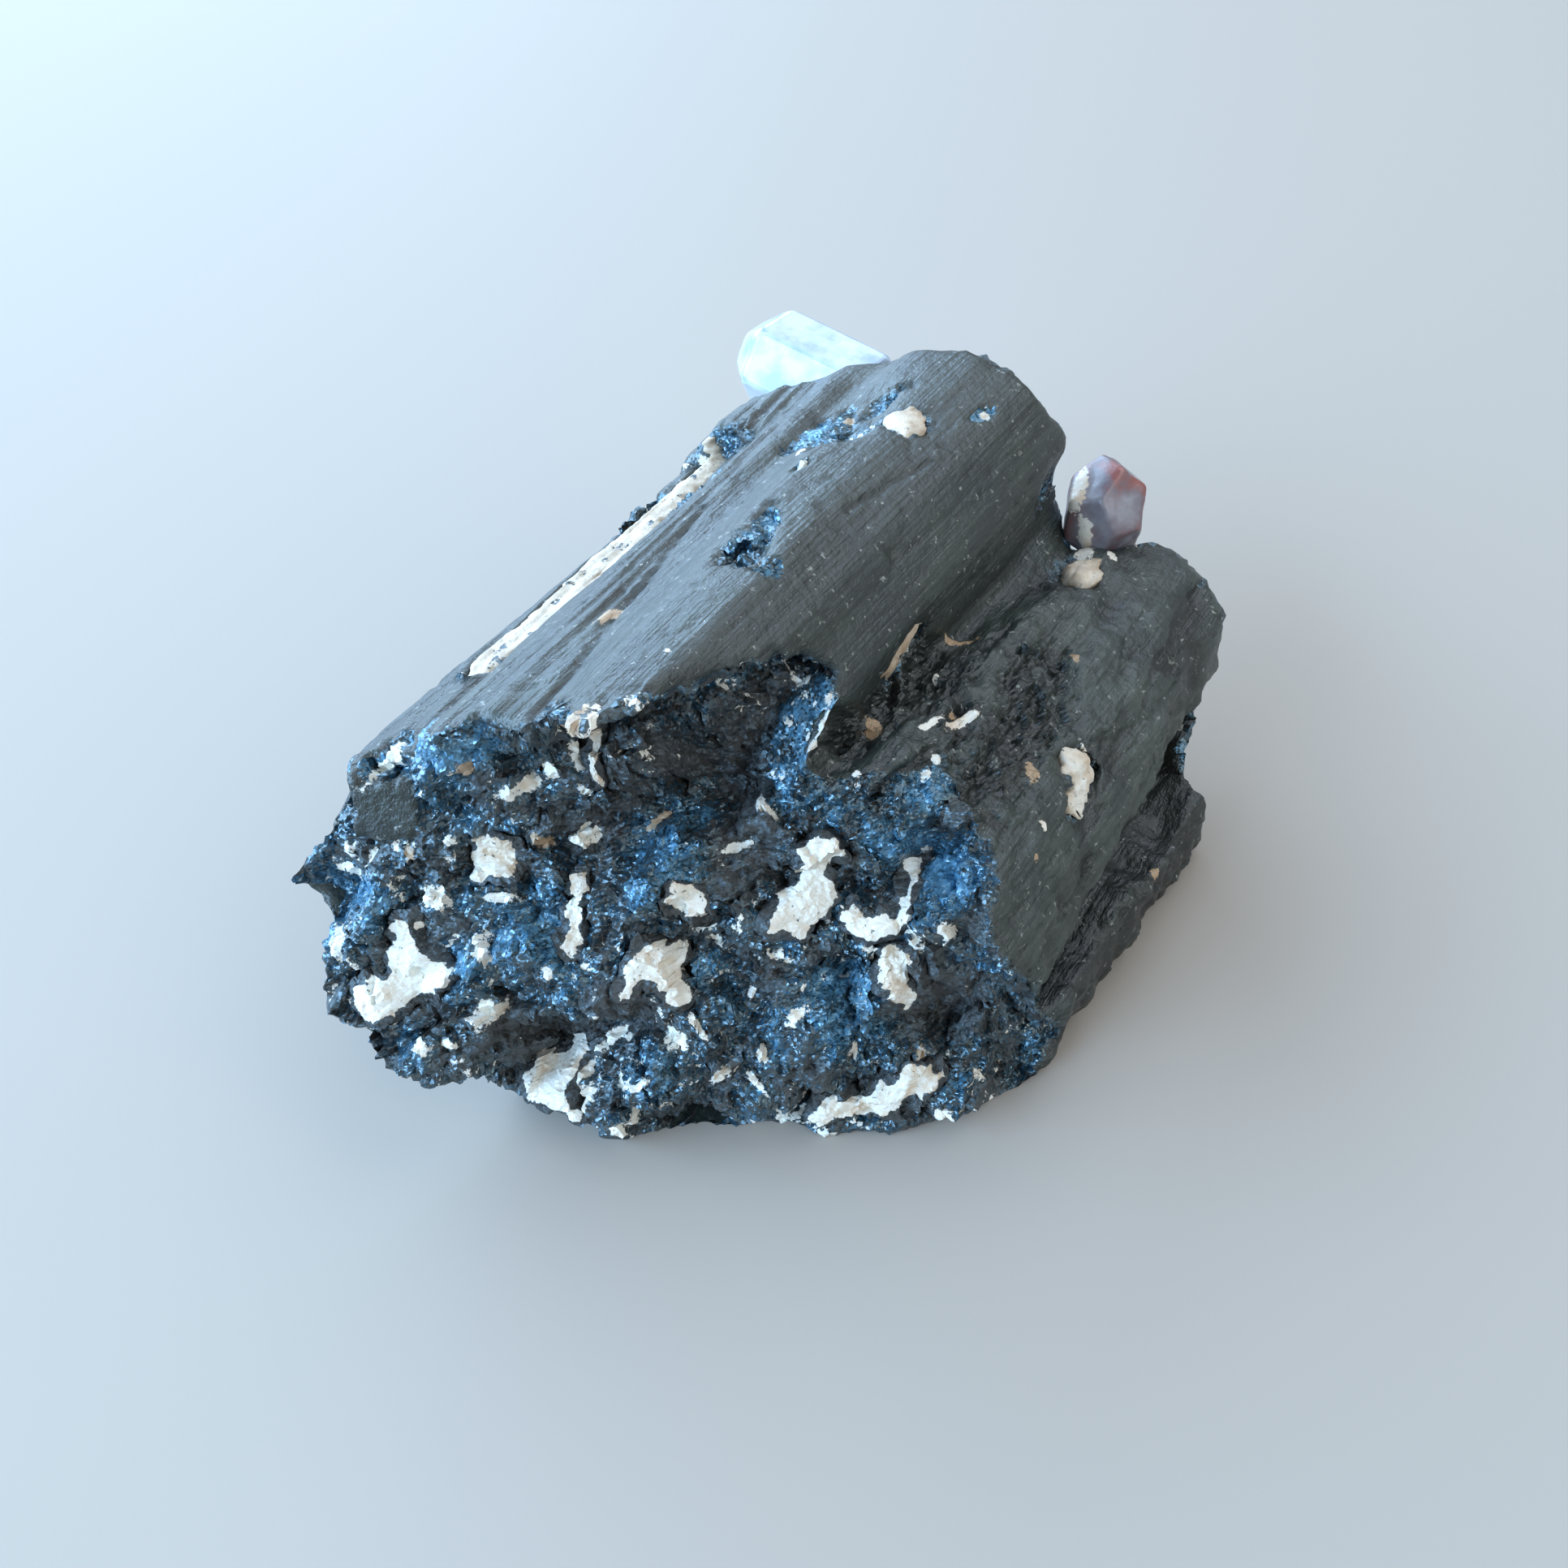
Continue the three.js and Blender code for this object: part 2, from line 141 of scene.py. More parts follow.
for name, settings in LIGHTS.items():
    soft_light(name, *settings)
world = bpy.data.worlds.new("studio")
world.use_nodes = True
world.node_tree.nodes["Background"].inputs["Color"].default_value = colour("#e8eef2")
world.node_tree.nodes["Background"].inputs["Strength"].default_value = ROOM_GLOW
bpy.context.scene.world = world
bpy.context.scene.view_settings.view_transform = "Standard"


# %% [markdown]
# ## Helpers for the materials
#
# Every finish here is a small net of shader nodes. Each node needs the same few things: settings, values
# for its inputs, and links from the nodes before it. One function adds a node of any kind with all of
# these, so a material reads as a list of what it is made of. Another fills in the inputs alone, and the
# shader itself, which is there from the start, gets its values and links from that one.

# %% Nodes, their inputs, and new materials
def fill(tree, node, inputs):
    """Sets a node's inputs, by name, or by number where several have one name. A socket is linked."""
    for name, value in inputs.items():
        if isinstance(value, bpy.types.NodeSocket):
            tree.links.new(value, node.inputs[name])
        else:
            node.inputs[name].default_value = value


def add(tree, kind, inputs=None, stops=(), **settings):
    """A new shader node with its inputs and settings. The stops are those of a colour ramp."""
    new = tree.nodes.new("ShaderNode" + kind)
    for i, (position, code) in enumerate(stops):
        stop = new.color_ramp.elements[i] if i < 2 else new.color_ramp.elements.new(position)
        stop.position, stop.color = position, colour(code)
    for name, value in settings.items():
        setattr(new, name, value)
    fill(tree, new, inputs or {})
    return new


def new_material(name):
    """An empty material, its node tree and its shader."""
    material = bpy.data.materials.new(name)
    material.use_nodes = True
    tree = material.node_tree
    return material, tree, tree.nodes["Principled BSDF"]


# The sockets of a Mix node go by number, because it has a set of them for each kind of value.
FACTOR = 0
NUMBER_A, NUMBER_B, NUMBER_OUT = 2, 3, 0
VECTOR_A, VECTOR_B, VECTOR_OUT = 4, 5, 1
COLOUR_A, COLOUR_B, COLOUR_OUT = 6, 7, 2
COVER = {"data_type": "RGBA"}  # the second colour covers the first
TINT = {"data_type": "RGBA", "blend_type": "MULTIPLY"}  # the second colour darkens the first
print("two helpers make every material:", add.__name__, "and", fill.__name__)


# %% [markdown]
# ## The table
#
# A pale floor sets off the black stone and throws some light back up at it. It is one large flat face.
# Its paint has a faint orange peel, so the light on it isn't quite even.

# %% The table
PEEL = 1.5 * MM
TABLE_SIZE = 1.5  # half a side, in metres


def painted_board():
    """Pale matt painted board: an even diffuse surface with the faint orange peel of a roller."""
    material, tree, shader = new_material("painted_board")
    place = add(tree, "TexCoord").outputs["Object"]
    peel = add(tree, "TexNoise", {"Vector": place, "Scale": 1 / PEEL, "Detail": 2})
    bump = add(tree, "Bump", {"Height": peel.outputs["Fac"], "Strength": 0.04, "Distance": 0.1 * MM})
    fill(tree, shader, {"Base Color": colour("#a89f95"), "Roughness": 0.7, "Normal": bump.outputs["Normal"]})
    return material


shape = bmesh.new()
bmesh.ops.create_grid(shape, x_segments=2, y_segments=2, size=TABLE_SIZE)
mesh = bpy.data.meshes.new("table_top")
shape.to_mesh(mesh)
shape.free()
mesh.materials.append(painted_board())
table_top = bpy.data.objects.new("table_top", mesh)
bpy.context.scene.collection.objects.link(table_top)
print("table:", table_top.name)

# %% [markdown]
# ## Working on a copy of a solid
#
# The solid model stays as it is. Each mineral gets a copy of its solid, and the copy is put on an even
# grid of small faces by a voxel remesh, so that smoothing and relief act alike everywhere.


# %% Copies of the solids
def copy_of(name):
    """A solid's mesh as a closed bmesh, its corners merged."""
    shape = bmesh.new()
    shape.from_mesh(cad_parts[name].data)
    bmesh.ops.remove_doubles(shape, verts=shape.verts, dist=0.001 * MM)
    return shape


def even_grid(shape, spacing):
    """The same form on an even grid of faces this far apart."""
    draft_mesh = bpy.data.meshes.new("draft")
    shape.to_mesh(draft_mesh)
    draft = bpy.data.objects.new("draft", draft_mesh)
    bpy.context.scene.collection.objects.link(draft)
    modifier = draft.modifiers.new("even", "REMESH")
    modifier.mode = "VOXEL"
    modifier.voxel_size = spacing
    even = bpy.data.meshes.new_from_object(draft.evaluated_get(bpy.context.evaluated_depsgraph_get()))
    bpy.data.objects.remove(draft)
    shape.clear()
    shape.from_mesh(even)
    bpy.data.meshes.remove(even)
    return shape


def soften(verts, shape, times):
    """Evens out corners; each pass moves a vertex halfway to its neighbours' middle."""
    for _ in range(times):
        bmesh.ops.smooth_vert(shape, verts=verts, factor=0.5,
                              use_axis_x=True, use_axis_y=True, use_axis_z=True)


print("solids to copy:", len(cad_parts))


# %% From a bmesh to a piece of the specimen
def finished_piece(name, shape, materials, node):
    """A bmesh made into a piece of the specimen, which stands for a node of the solid model."""
    mesh = bpy.data.meshes.new(name)
    shape.to_mesh(mesh)
    shape.free()
    for material in materials:
        mesh.materials.append(material)
    piece = bpy.data.objects.new(name, mesh)
    bpy.context.scene.collection.objects.link(piece)
    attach(piece, "root")
    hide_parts(node)
    print(f"{name}: {sum(len(f.vertices) - 2 for f in mesh.polygons)} triangles")


# %% [markdown]
# ## The tourmaline's two kinds of surface
#
# A point on a break has stone just ahead of it along the prisms, because the break cuts across them. A
# point on a prism's side has none, because the side runs on past it. So a ray that starts a little way
# off the surface and runs along the prisms tells the two apart.

# %% Where the stone is broken
MIDWAY = 12 * MM  # breaks in front of this belong to the near end, and those behind it to the far end
OFF_SURFACE = 0.9 * MM
NEAR_LOOK = 13 * MM  # how far ahead a near break's ray may look
FAR_LOOK = 6 * MM  # and a far break's
STEEP = 0.4  # a surface that faces along the prisms by more than this is a break
RESTING = 0.05 * MM  # what is lower than this is the face that the stone rests on


def is_broken(vert, tree):
    """Whether a vertex lies on a break. The tree is the stone's surface."""
    if vert.co.z < RESTING:
        return False
    start = vert.co + vert.normal * OFF_SURFACE
    near = vert.co.y < MIDWAY and tree.ray_cast(start, ALONG, NEAR_LOOK)[0]
    far = vert.co.y > MIDWAY and tree.ray_cast(start, -ALONG, FAR_LOOK)[0]
    return bool(near or far or abs(vert.normal.y) > STEEP)


print("a break leans this many degrees off the prisms:", round(math.degrees(math.asin(STEEP))))

# %% Marking the breaks
SMALL_BREAK = 30  # vertices; a step on a side that is smaller than this isn't a break
BLENDS = 2  # how many times the mark is evened out with its neighbours


def drop_small_breaks(shape, layer):
    """Clears the layer where fewer marked vertices than that hang together."""
    waiting = {vert for vert in shape.verts if vert[layer]}
    while waiting:
        island, edge_of_it = set(), [waiting.pop()]
        while edge_of_it:
            vert = edge_of_it.pop()
            island.add(vert)
            found = {edge.other_vert(vert) for edge in vert.link_edges} & waiting
            waiting -= found
            edge_of_it.extend(found)
        if len(island) < SMALL_BREAK:
            for vert in island:
                vert[layer] = 0


def mark_breaks(shape):
    """A layer that is 1 on the breaks, 0 on the sides of the prisms, and in between along their edges."""
    tree = BVHTree.FromBMesh(shape)
    layer = shape.verts.layers.float.new("broken")
    for vert in shape.verts:
        vert[layer] = float(is_broken(vert, tree))
    drop_small_breaks(shape, layer)
    for _ in range(BLENDS):
        smoothed = [
            (vert[layer] + sum(edge.other_vert(vert)[layer] for edge in vert.link_edges))
            / (1 + len(vert.link_edges))
            for vert in shape.verts
        ]
        for vert, value in zip(shape.verts, smoothed):
            vert[layer] = value
    return layer


print("smallest patch that counts as a break, in vertices:", SMALL_BREAK)


# %% [markdown]
# ## Noise for the relief
#
# All the relief is noise of one kind or another. Noise that is drawn out along the prisms makes ribs. Its
# absolute value has sharp creases, which make grooves. Cells of noise with a tilt of their own make flat
# facets and leaning blocks, as stone has where it breaks. Each kind takes a width, so it can be used at
# any size, and a shift, which moves to another part of the noise so that two uses don't look alike.

# %% Noise drawn out along the prisms, and round lumps
TAPER = 0.06  # the crown's ribs lean this much to the left as they run back
STRETCH = 0.03  # how slowly the ribs change along their run
CREASE = 2.2  # lifts the absolute value of noise to about 1 between its creases


def fade(value, start, end):
    """0 up to start, 1 from end on, and an even slope between."""
    return min(1, max(0, (value - start) / (end - start)))


def ribs(place, width, shift=0.0):
    """Between -1 and 1: soft ridges about this wide that run along the prisms."""
    drawn = Vector(((place.x + TAPER * place.y), place.y * STRETCH, place.z)) / width
    return noise.noise(drawn + Vector((shift, shift, 0)))


def grooves(place, width, shift=0.0):
    """Between 0 and 1: rounded ridges with sharp grooves between them, along the prisms."""
    return min(1, CREASE * abs(ribs(place, width, shift)))


def lumps(place, width, shift=0.0):
    """Between -1 and 1: rounded lumps about this wide."""
    return noise.noise(place / width + Vector((shift, 0, shift)))


def cobbles(place, width):
    """Between 0 and 1: rounded lumps with sharp crevices between them."""
    return min(1, CREASE * abs(lumps(place, width)))


print("ribs 2.6 mm wide, at each mm across:",
      [round(ribs(Vector((x, 0, 0)) * MM, 2.6 * MM), 1) for x in range(8)])

# %% Flat-faced rubble and leaning blocks
DRAW = 57  # takes the middle of a cell to its own random numbers
BLOCK_HEIGHTS = 0.4  # how much the blocks differ in height
BLOCK_LEAN = 1.3  # how steeply their tops lean
BLOCK_EDGE = 0.4  # how far from its middle a block's top falls off
BLOCK_FALL = 1.6  # how steeply it falls there


def own_draw(centre):
    """Three numbers from -1 to 1 that belong to a cell of the noise."""
    return noise.cell_vector(centre * DRAW) * 2 - Vector((1, 1, 1))


def rubble(place, width):
    """About -1 to 1: flat facets about this wide, each one tilted its own way, with steps between them."""
    spot = place / width
    centre = noise.voronoi(spot)[1][0]
    return own_draw(centre).dot(spot - centre)


def blocks(place, width, shift=0.0):
    """About -1 to 1: blocks about this wide with flat, leaning tops, and crevices between them."""
    spot = place / width + Vector((shift, 0, shift))
    heights = []
    for centre in noise.voronoi(spot)[1]:
        draw = own_draw(centre)
        away = spot - centre
        fall = BLOCK_FALL * max(0, away.length - BLOCK_EDGE)
        heights.append(BLOCK_HEIGHTS * draw.x + BLOCK_LEAN * draw.dot(away) - fall)
    return max(heights)


print("blocks 8.5 mm wide, at every 2 mm across:",
      [round(blocks(Vector((x, 0, 0)) * MM, 8.5 * MM), 1) for x in range(0, 16, 2)])


# %% [markdown]
# ## The tourmaline's relief
#
# Schorl crumbles as it snaps across its length, so its breaks are blocks of all sizes. The large blocks
# are made by a push that depends only on a point's place. The feldspar grains get the same push later, so
# they stay seated in their sockets. Some places are listed to lean towards the window or away from
# it, because that decides which parts of the break flash and which stay black.

# %% The large blocks of a break
OUTWARDS = Vector((0.1, -0.8, 0.55)).normalized()  # the way the near break faces, by and large
WINDOW = Vector((-0.6, -0.3, 0.75)).normalized()  # a grain that faces this way throws the window at the eye
DEEP = 0.7  # this share of a point's outward place is left out, so that the blocks run deep
LARGE, LARGE_HEIGHT = 8.5 * MM, 2.2
MEDIUM, MEDIUM_HEIGHT = 3.8 * MM, 1.5
SUNK = 0.2  # taken off the blocks' noise, which is 0.1 on average, so that more of the break sinks in
# Painted reflection: through the gloss, these places also set where the break is painted blue.
LEANING = [  # middle in mm, radius in mm, and how steeply the stone there leans towards the window
    ((-16, -29.4, 30.8), 4, 0.6), ((-20.9, -36.4, 17.5), 5, 0.7), ((-7.6, -31.6, 20), 4, 0.8),
    ((-0.4, -21.9, 22.9), 4, 0.9), ((11.5, -8, 25), 5.5, 0.8), ((14.9, -18.9, 12.7), 4, 1.0),
    ((-11.1, -34.9, 15.4), 3, 0.5), ((17.2, -10.7, 18.6), 4, 0.7),
    ((-6.2, -33.4, 8.5), 3.5, -0.9), ((5.2, -17.5, 22.5), 4.5, -0.7), ((19.6, -14.1, 11.2), 4, -0.6),
    ((-6.7, -24.8, 25.9), 3, -0.5), ((0.8, -30.4, 13.7), 3, -0.8), ((10.3, -22.2, 15.1), 2.5, -0.6),
    ((-1, -15.5, 27.5), 6, -1.1),
]


def leaning(place, reach):
    """For each leaning place: how much a point belongs to it, the way to the point, and the steepness."""
    for spot, radius, steepness in LEANING:
        away = place - Vector(spot) * MM
        away -= OUTWARDS * OUTWARDS.dot(away)
        yield 1 - fade(away.length, 0.5 * radius * MM, reach * radius * MM), away, steepness


def push(place):
    """How far the large blocks of the near break move a point outwards, in metres."""
    flat = place - DEEP * OUTWARDS * OUTWARDS.dot(place)
    height = (LARGE_HEIGHT * (blocks(flat, LARGE) - SUNK)
              + MEDIUM_HEIGHT * (blocks(flat, MEDIUM, 4) - SUNK)) * MM
    for share, away, steepness in leaning(place, 1):
        height -= steepness * share * away.dot(WINDOW)
    return height


print("places that lean to the window:", sum(steepness > 0 for _, _, steepness in LEANING),
      "and away from it:", sum(steepness < 0 for _, _, steepness in LEANING))

# %% How glassy the break is, and how much painted blue sheen it gets
GLOSS = 0.47  # on average
LEANING_TO, LEANING_AWAY = 0.5, -0.6  # what a listed place adds to that


def gloss_and_sheen(place):
    """About 0 to 1: how glassy a break is, and how much painted blue sheen it gets.

    It is dull where it crumbled, which is where it leans away; where it leans to the window it gets more
    sheen.
    """
    value = GLOSS + 0.7 * lumps(place, 4.5 * MM, 2) + 0.5 * lumps(place, 1.7 * MM, 6)
    for share, _, steepness in leaning(place, 1.1):
        value += share * (LEANING_TO if steepness > 0 else LEANING_AWAY)
    return value


print("gloss at the first of them:", round(gloss_and_sheen(Vector(LEANING[0][0]) * MM), 2))


# %% [markdown]
# Two places broke clean along a flat, and stay smooth: a small dark facet at the left rim, and the right
# wall of the hollow, which mirrors the window.

# %% Flat places
FLATS = {  # middle in mm, facing, half width and half height in mm
    "parting_face": ((-19.2, -31.4, 25.7), (0.50, -0.80, 0.33), 2.7, 2.6),
    "hollow_wall": ((4.3, -10.3, 28.6), (-0.30, -0.72, 0.62), 2.3, 4.4),
}
FLAT_EDGE = (0.85, 1.1)  # the edge of a flat, as shares of its half width and half height
FLAT_REACH = (3, 4)  # how far in front of the flat or behind it stone still belongs to it, in mm


def flatness(place, name):
    """1 on a flat place and 0 outside it, and the vector that takes the point onto the flat."""
    spot, facing, half_width, half_height = FLATS[name]
    facing = Vector(facing).normalized()
    across = Vector((0, 0, 1)).cross(facing).normalized()
    away = place / MM - Vector(spot)
    wide, high = abs(away.dot(across)) / half_width, abs(away.dot(facing.cross(across))) / half_height
    share = 1 - fade(max(wide, high) + 0.3 * lumps(place, 1.6 * MM), *FLAT_EDGE)
    share *= 1 - fade(abs(away.dot(facing)), *FLAT_REACH)
    return share, -facing * away.dot(facing) * MM


print("flat places:", list(FLATS))

# %% [markdown]
# The sides of the prisms keep the form that they grew with: ribs of several widths. The left shoulder has
# more of them, a long crack and a short nick run beside the crown, and the right side is rippled and
# stepped. Each is a term of one height, in millimetres, that is worked out from a point's place.

# %% The relief of a prism's side
CRACK_HALF_WIDTH, CRACK_DEPTH = 0.4, 0.45
NICK_DEPTH = 0.3
CREVICE_HEIGHT, CREVICE_DEPTH = 9.8, 3.2  # the long hollow between the right side and its foot


def cracks(place):
    """Depth of the crack and the nick beside the crown, in mm."""
    x, y, z = place / MM
    crack = abs(x + 12.3 + 0.18 * y + 0.3 * lumps(place, 9 * MM)) if -30 < y < 3 and z > 30 else 1
    nick = abs(x + 0.4 - 0.157 * (y - 5.8) + 0.3 * lumps(place, 2 * MM)) if 5 < y < 16.5 and z > 34 else 1
    return (CRACK_DEPTH * (1 - fade(crack, 0.0, CRACK_HALF_WIDTH))
            + NICK_DEPTH * (1 - fade(nick, 0.0, CRACK_HALF_WIDTH)))


def right_side(place):
    """Height of the right side's ripples, steps and fibres, in mm."""
    x, y, z = place / MM
    ripple = noise.noise(Vector((x * 0.35 + 0.1 * y, y * 0.32, z * 0.35)))
    step = blocks(Vector((place.x, 0.45 * place.y, place.z)), 3.4 * MM, 5)
    fibre = 1 - fade(grooves(place, 1.5 * MM, 11), 0, 0.25)
    return fade(x, 7, 10) * (0.4 * ripple + 0.6 * step - 0.25 * fibre + 0.15 * rubble(place, 1.3 * MM))


def right_foot(place):
    """Height of the crevice over the foot of the right side, and of the foot's own steps, in mm."""
    x, y, z = place / MM
    if x <= 18:
        return 0
    crevice = abs(z - CREVICE_HEIGHT - 0.8 * lumps(place, 6 * MM)) if y > -9 else 9
    steps = 0.8 * (1 - fade(z, 8, 9)) * noise.noise(Vector((x * 0.1, y * 0.5, z * 0.1)))
    return steps - CREVICE_DEPTH * (1 - fade(crevice, 0.3, 2.0))


def side_relief(place):
    """Height of a prism's side, in metres: ribs all over, and in some parts grooves, cracks and steps."""
    x, y, z = place / MM
    height = 0.12 * ribs(place, 2.6 * MM) + 0.06 * ribs(place, 1.1 * MM, 7) + 0.06 * lumps(place, 3 * MM)
    shoulder = fade(-x - 0.18 * y, 11, 12.5) * fade(z, 25, 27)  # left of the crack beside the crown
    height += shoulder * (0.4 * (grooves(place, 1.8 * MM, 3) - 0.5)
                          + 0.3 * (grooves(place, 0.9 * MM, 5) - 0.5))
    return (height - cracks(place) + right_side(place) + right_foot(place)) * MM


print("relief of the crown's top, mm:", round(side_relief(Vector((0, 0, 39)) * MM) / MM, 2))


# %% The relief of crumbled sides and of breaks
def crumbled_relief(place):
    """Relief of a side where it crumbled away, in metres: rubble drawn out along the prisms."""
    drawn = Vector((place.x + 0.3 * place.y, 0.55 * place.y, place.z))
    return (0.75 * rubble(drawn, 1.9 * MM) + 0.3 * rubble(place, 0.8 * MM)
            + 0.5 * lumps(drawn, 2.6 * MM, 4)) * MM


def break_relief(place):
    """The finer relief of a break, in metres: rubble at two sizes and rounded grains."""
    return (0.8 * rubble(place, 2 * MM) + 0.28 * rubble(place, 0.9 * MM)
            + 0.45 * (cobbles(place, 1.3 * MM) - 0.5)) * MM


print("relief of the break's middle, mm:", round(break_relief(Vector((0, -25, 20)) * MM) / MM, 2))

# %% [markdown]
# ## Patches, chips and scars
#
# Small patches of feldspar lie flush in the surface. A few glassy chips show fresh stone on the old
# sides, and where the groove's wall crumbled there are dull scars. Each is a long spot in a layer of the
# mesh. The layer is 1 in the middle of the spot and 0.5 at its outline, and noise later makes the outline
# ragged.

# %% Feldspar patches in the surface
WHITE_PATCHES = [  # place in mm, length, width, and lean to the left in degrees
    ((-20.5, -29.5, 29), 3.2, 1.1, -54), ((-22.5, -35, 20), 1.8, 0.9, 35),
    ((-14.5, -32, 19.5), 2.4, 1.6, 60), ((-10, -31, 20.5), 2.4, 0.7, 80),
    ((-10.3, -26.3, 28.6), 3.2, 1.3, -60), ((-8.3, -24.4, 29.8), 1.3, 1, 0),
    ((-19.6, -29.1, 29.5), 1.5, 1, -20), ((-6.2, -23.5, 28), 1.4, 0.9, 60),
    ((-6.3, -23.4, 23.4), 3, 1.5, 80), ((-4.7, -31.6, 16.6), 1.1, 0.9, 0),
    ((-9.5, -33.5, 17.5), 2.8, 1.3, 15), ((-8.5, -35, 12.4), 2.2, 1.8, -30),
    ((-9.6, -38, 11), 1.2, 0.8, 60), ((-11.4, -39.5, 11), 1.8, 1.2, 80), ((4, -14, 24), 2.1, 0.8, 55),
    ((4.7, -23.3, 17.5), 1.8, 0.6, 70), ((8.5, -24, 14), 0.7, 0.6, 0), ((5, -29, 11), 2.2, 1.6, 60),
    ((7.8, -27.6, 7.5), 2.6, 0.9, -40), ((-1, -29.6, 8), 3.2, 0.9, -65),
    ((-1, -32.7, 4.5), 2.2, 1.4, -40), ((12.3, -22.5, 12.2), 2.2, 1.2, -30),
    ((-20.6, -38, 16), 3, 1.1, 15), ((-17, -40, 14.3), 4, 1, 25), ((13.1, 1.7, 25.2), 4, 0.9, -50),
    ((11.2, -0.6, 26), 2.6, 0.6, -45), ((6.6, -9.6, 30), 3, 0.9, -15), ((9.3, -9.6, 26), 0.9, 0.8, 0),
    ((8, 6, 24.6), 0.8, 0.7, 0), ((22, -1.5, 20.5), 1, 0.7, 0), ((17.6, -13.3, 15.4), 1.6, 1.2, 0),
    ((13, 32, 22.8), 1.4, 1, 0), ((10.4, 31.4, 22.6), 3.6, 1.6, -20),
    ((3.7, -17.9, 22.5), 2.2, 0.9, -70), ((-14.9, -28.6, 23.2), 1, 0.8, 0),
    ((-6.3, -21.8, 30.1), 3.4, 1.1, -10), ((-7.3, -18.1, 30), 1.8, 1.2, -20),
    ((-2.1, -31.9, 5.6), 2.6, 0.8, -50), ((6.3, -27.2, 12.1), 3.4, 0.5, 35),
    ((10.5, -25.5, 6.2), 3.2, 0.5, 40), ((13, -4.7, 24.4), 0.9, 0.7, 0), ((13.4, -3.5, 25.4), 1, 0.7, 0),
    ((19.8, -12.5, 17.4), 1.6, 0.8, 0), ((16, -20.4, 8.3), 1.8, 0.5, 0),
    ((10.2, -23.7, 8.4), 1.4, 0.9, 30), ((-1.6, -24.8, 38), 1.6, 1, 0),
    ((-9.5, 13, 36.5), 2.2, 0.8, -10), ((-6.8, 8.7, 38.4), 1.8, 0.7, -20), ((2, 25.5, 38), 1.2, 0.8, 0),
]
TAN_PATCHES = [
    ((-17.3, -31, 22), 1.2, 0.8, 0), ((-13, -28.5, 30.7), 1.5, 1.1, 0), ((-2.7, -26.6, 38), 1.5, 1.1, 0),
    ((-2.6, -20.4, 23.7), 2, 0.6, -50), ((7, -3, 24.4), 1.6, 1, 0), ((7.4, 11.5, 23.7), 3.5, 0.6, -70),
    ((19.3, 2.3, 22.2), 2.9, 0.8, -10), ((16.4, 16.2, 23), 1.6, 0.6, 0), ((22.5, -4.4, 19.8), 1, 0.6, 0),
    ((20.5, -16.3, 6.4), 2, 0.9, 0), ((-10.6, -13.2, 35.7), 2.3, 1, -50), ((29, 11, 7.4), 1.2, 0.8, 0),
    ((-9.1, -26.1, 23.4), 1.5, 1, 0), ((12.2, 1.9, 25.4), 0.9, 0.8, 0), ((-9, 20, 36.4), 1.2, 0.8, -40),
]
print("feldspar patches:", len(WHITE_PATCHES), "white and", len(TAN_PATCHES), "tan")

# %% Chips and scars in the sides
CHIPS = [  # glassy ones, as above
    ((-4.6, -0.6, 38.8), 6.5, 2.4, -8), ((-1.4, -5, 39.4), 3.6, 2.2, 50), ((-10, 18.5, 36), 7, 3.2, -45),
    ((-7, 22.5, 37), 5, 2, -60), ((-11, 14.5, 35.6), 3, 1.6, -45), ((1.5, 25, 38), 3.2, 1.4, -60),
    ((-6.8, 8.7, 38.4), 2.4, 1, -30), ((-24.5, -34.5, 20.8), 6, 4, -20), ((-20.5, -28.3, 29), 6, 3, -50),
    ((-16.5, -27.6, 31.3), 6, 2.6, -70), ((-11.5, -27, 33.6), 5, 2, -80), ((-9, 19, 36.4), 4, 3, 20),
]
SCARS = [  # dull, crumbled ones
    ((7, 0, 26), 12, 4.5, -40), ((9, 4, 25), 9, 3, -42), ((16, 0, 24.2), 12, 6, -35),
    ((17, 8, 23.4), 8, 4, -30), ((15, -5, 24.3), 9, 5, -20), ((14, 12, 23), 7, 3, -40),
]
print("chips:", len(CHIPS), "and scars:", len(SCARS))

# %% Laying a patch on the surface
RIGHTWARDS = Vector((0.85, 0.53, 0))  # as seen from above the right of the broken end
THROUGH = 3  # mm; how far above or below its middle a patch still shows


def lay_patches(shape, patches, layer):
    """Adds long spots to a layer of a mesh, each one on the part of the surface that lies nearest."""
    tree = KDTree(len(shape.verts))
    for vert in shape.verts:
        tree.insert(vert.co, vert.index)
    tree.balance()
    for place, length, width, lean in patches:
        vert = shape.verts[tree.find(Vector(place) * MM)[1]]
        middle, facing = vert.co.copy(), vert.normal.copy()
        right = (RIGHTWARDS - facing * facing.dot(RIGHTWARDS)).normalized()
        up = facing.cross(right)
        run = up * math.cos(math.radians(lean)) - right * math.sin(math.radians(lean))
        across = facing.cross(run)
        for spot, index, _ in tree.find_range(middle, (length + 1) * MM):
            away = (spot - middle) / MM
            reach = math.hypot(away.dot(run) / length, away.dot(across) / width, away.dot(facing) / THROUGH)
            shape.verts[index][layer] = max(shape.verts[index][layer], 1 - reach)


print("longest patch, mm:", max(length for _, length, _, _ in WHITE_PATCHES + TAN_PATCHES))

# %% [markdown]
# ## The tourmaline itself
#
# The copy of the solid is put on a grid of 0.74 mm and its breaks are marked. Only the parts that carry
# fine relief are then divided once more, so that the whole piece stays well under 200,000 triangles.

# %% The tourmaline on an even grid
GRID = 0.74 * MM
FINE_BREAK_END = 4 * MM  # the near break's faces are divided up to here along the prisms
FINE_SIDE_END = 27 * MM  # and those of the sides up to here
LOOKED_AT = 0.15  # a side that faces the camera's way by more than this is divided


def needs_fine_grid(face):
    """The near break, and the sides that face up or to the front, carry the finest relief."""
    spot = face.calc_center_median()
    on_break = spot.y < FINE_BREAK_END and all(v[broken] > 0.3 for v in face.verts)
    return on_break or (spot.y < FINE_SIDE_END and face.normal.dot(back) > LOOKED_AT)


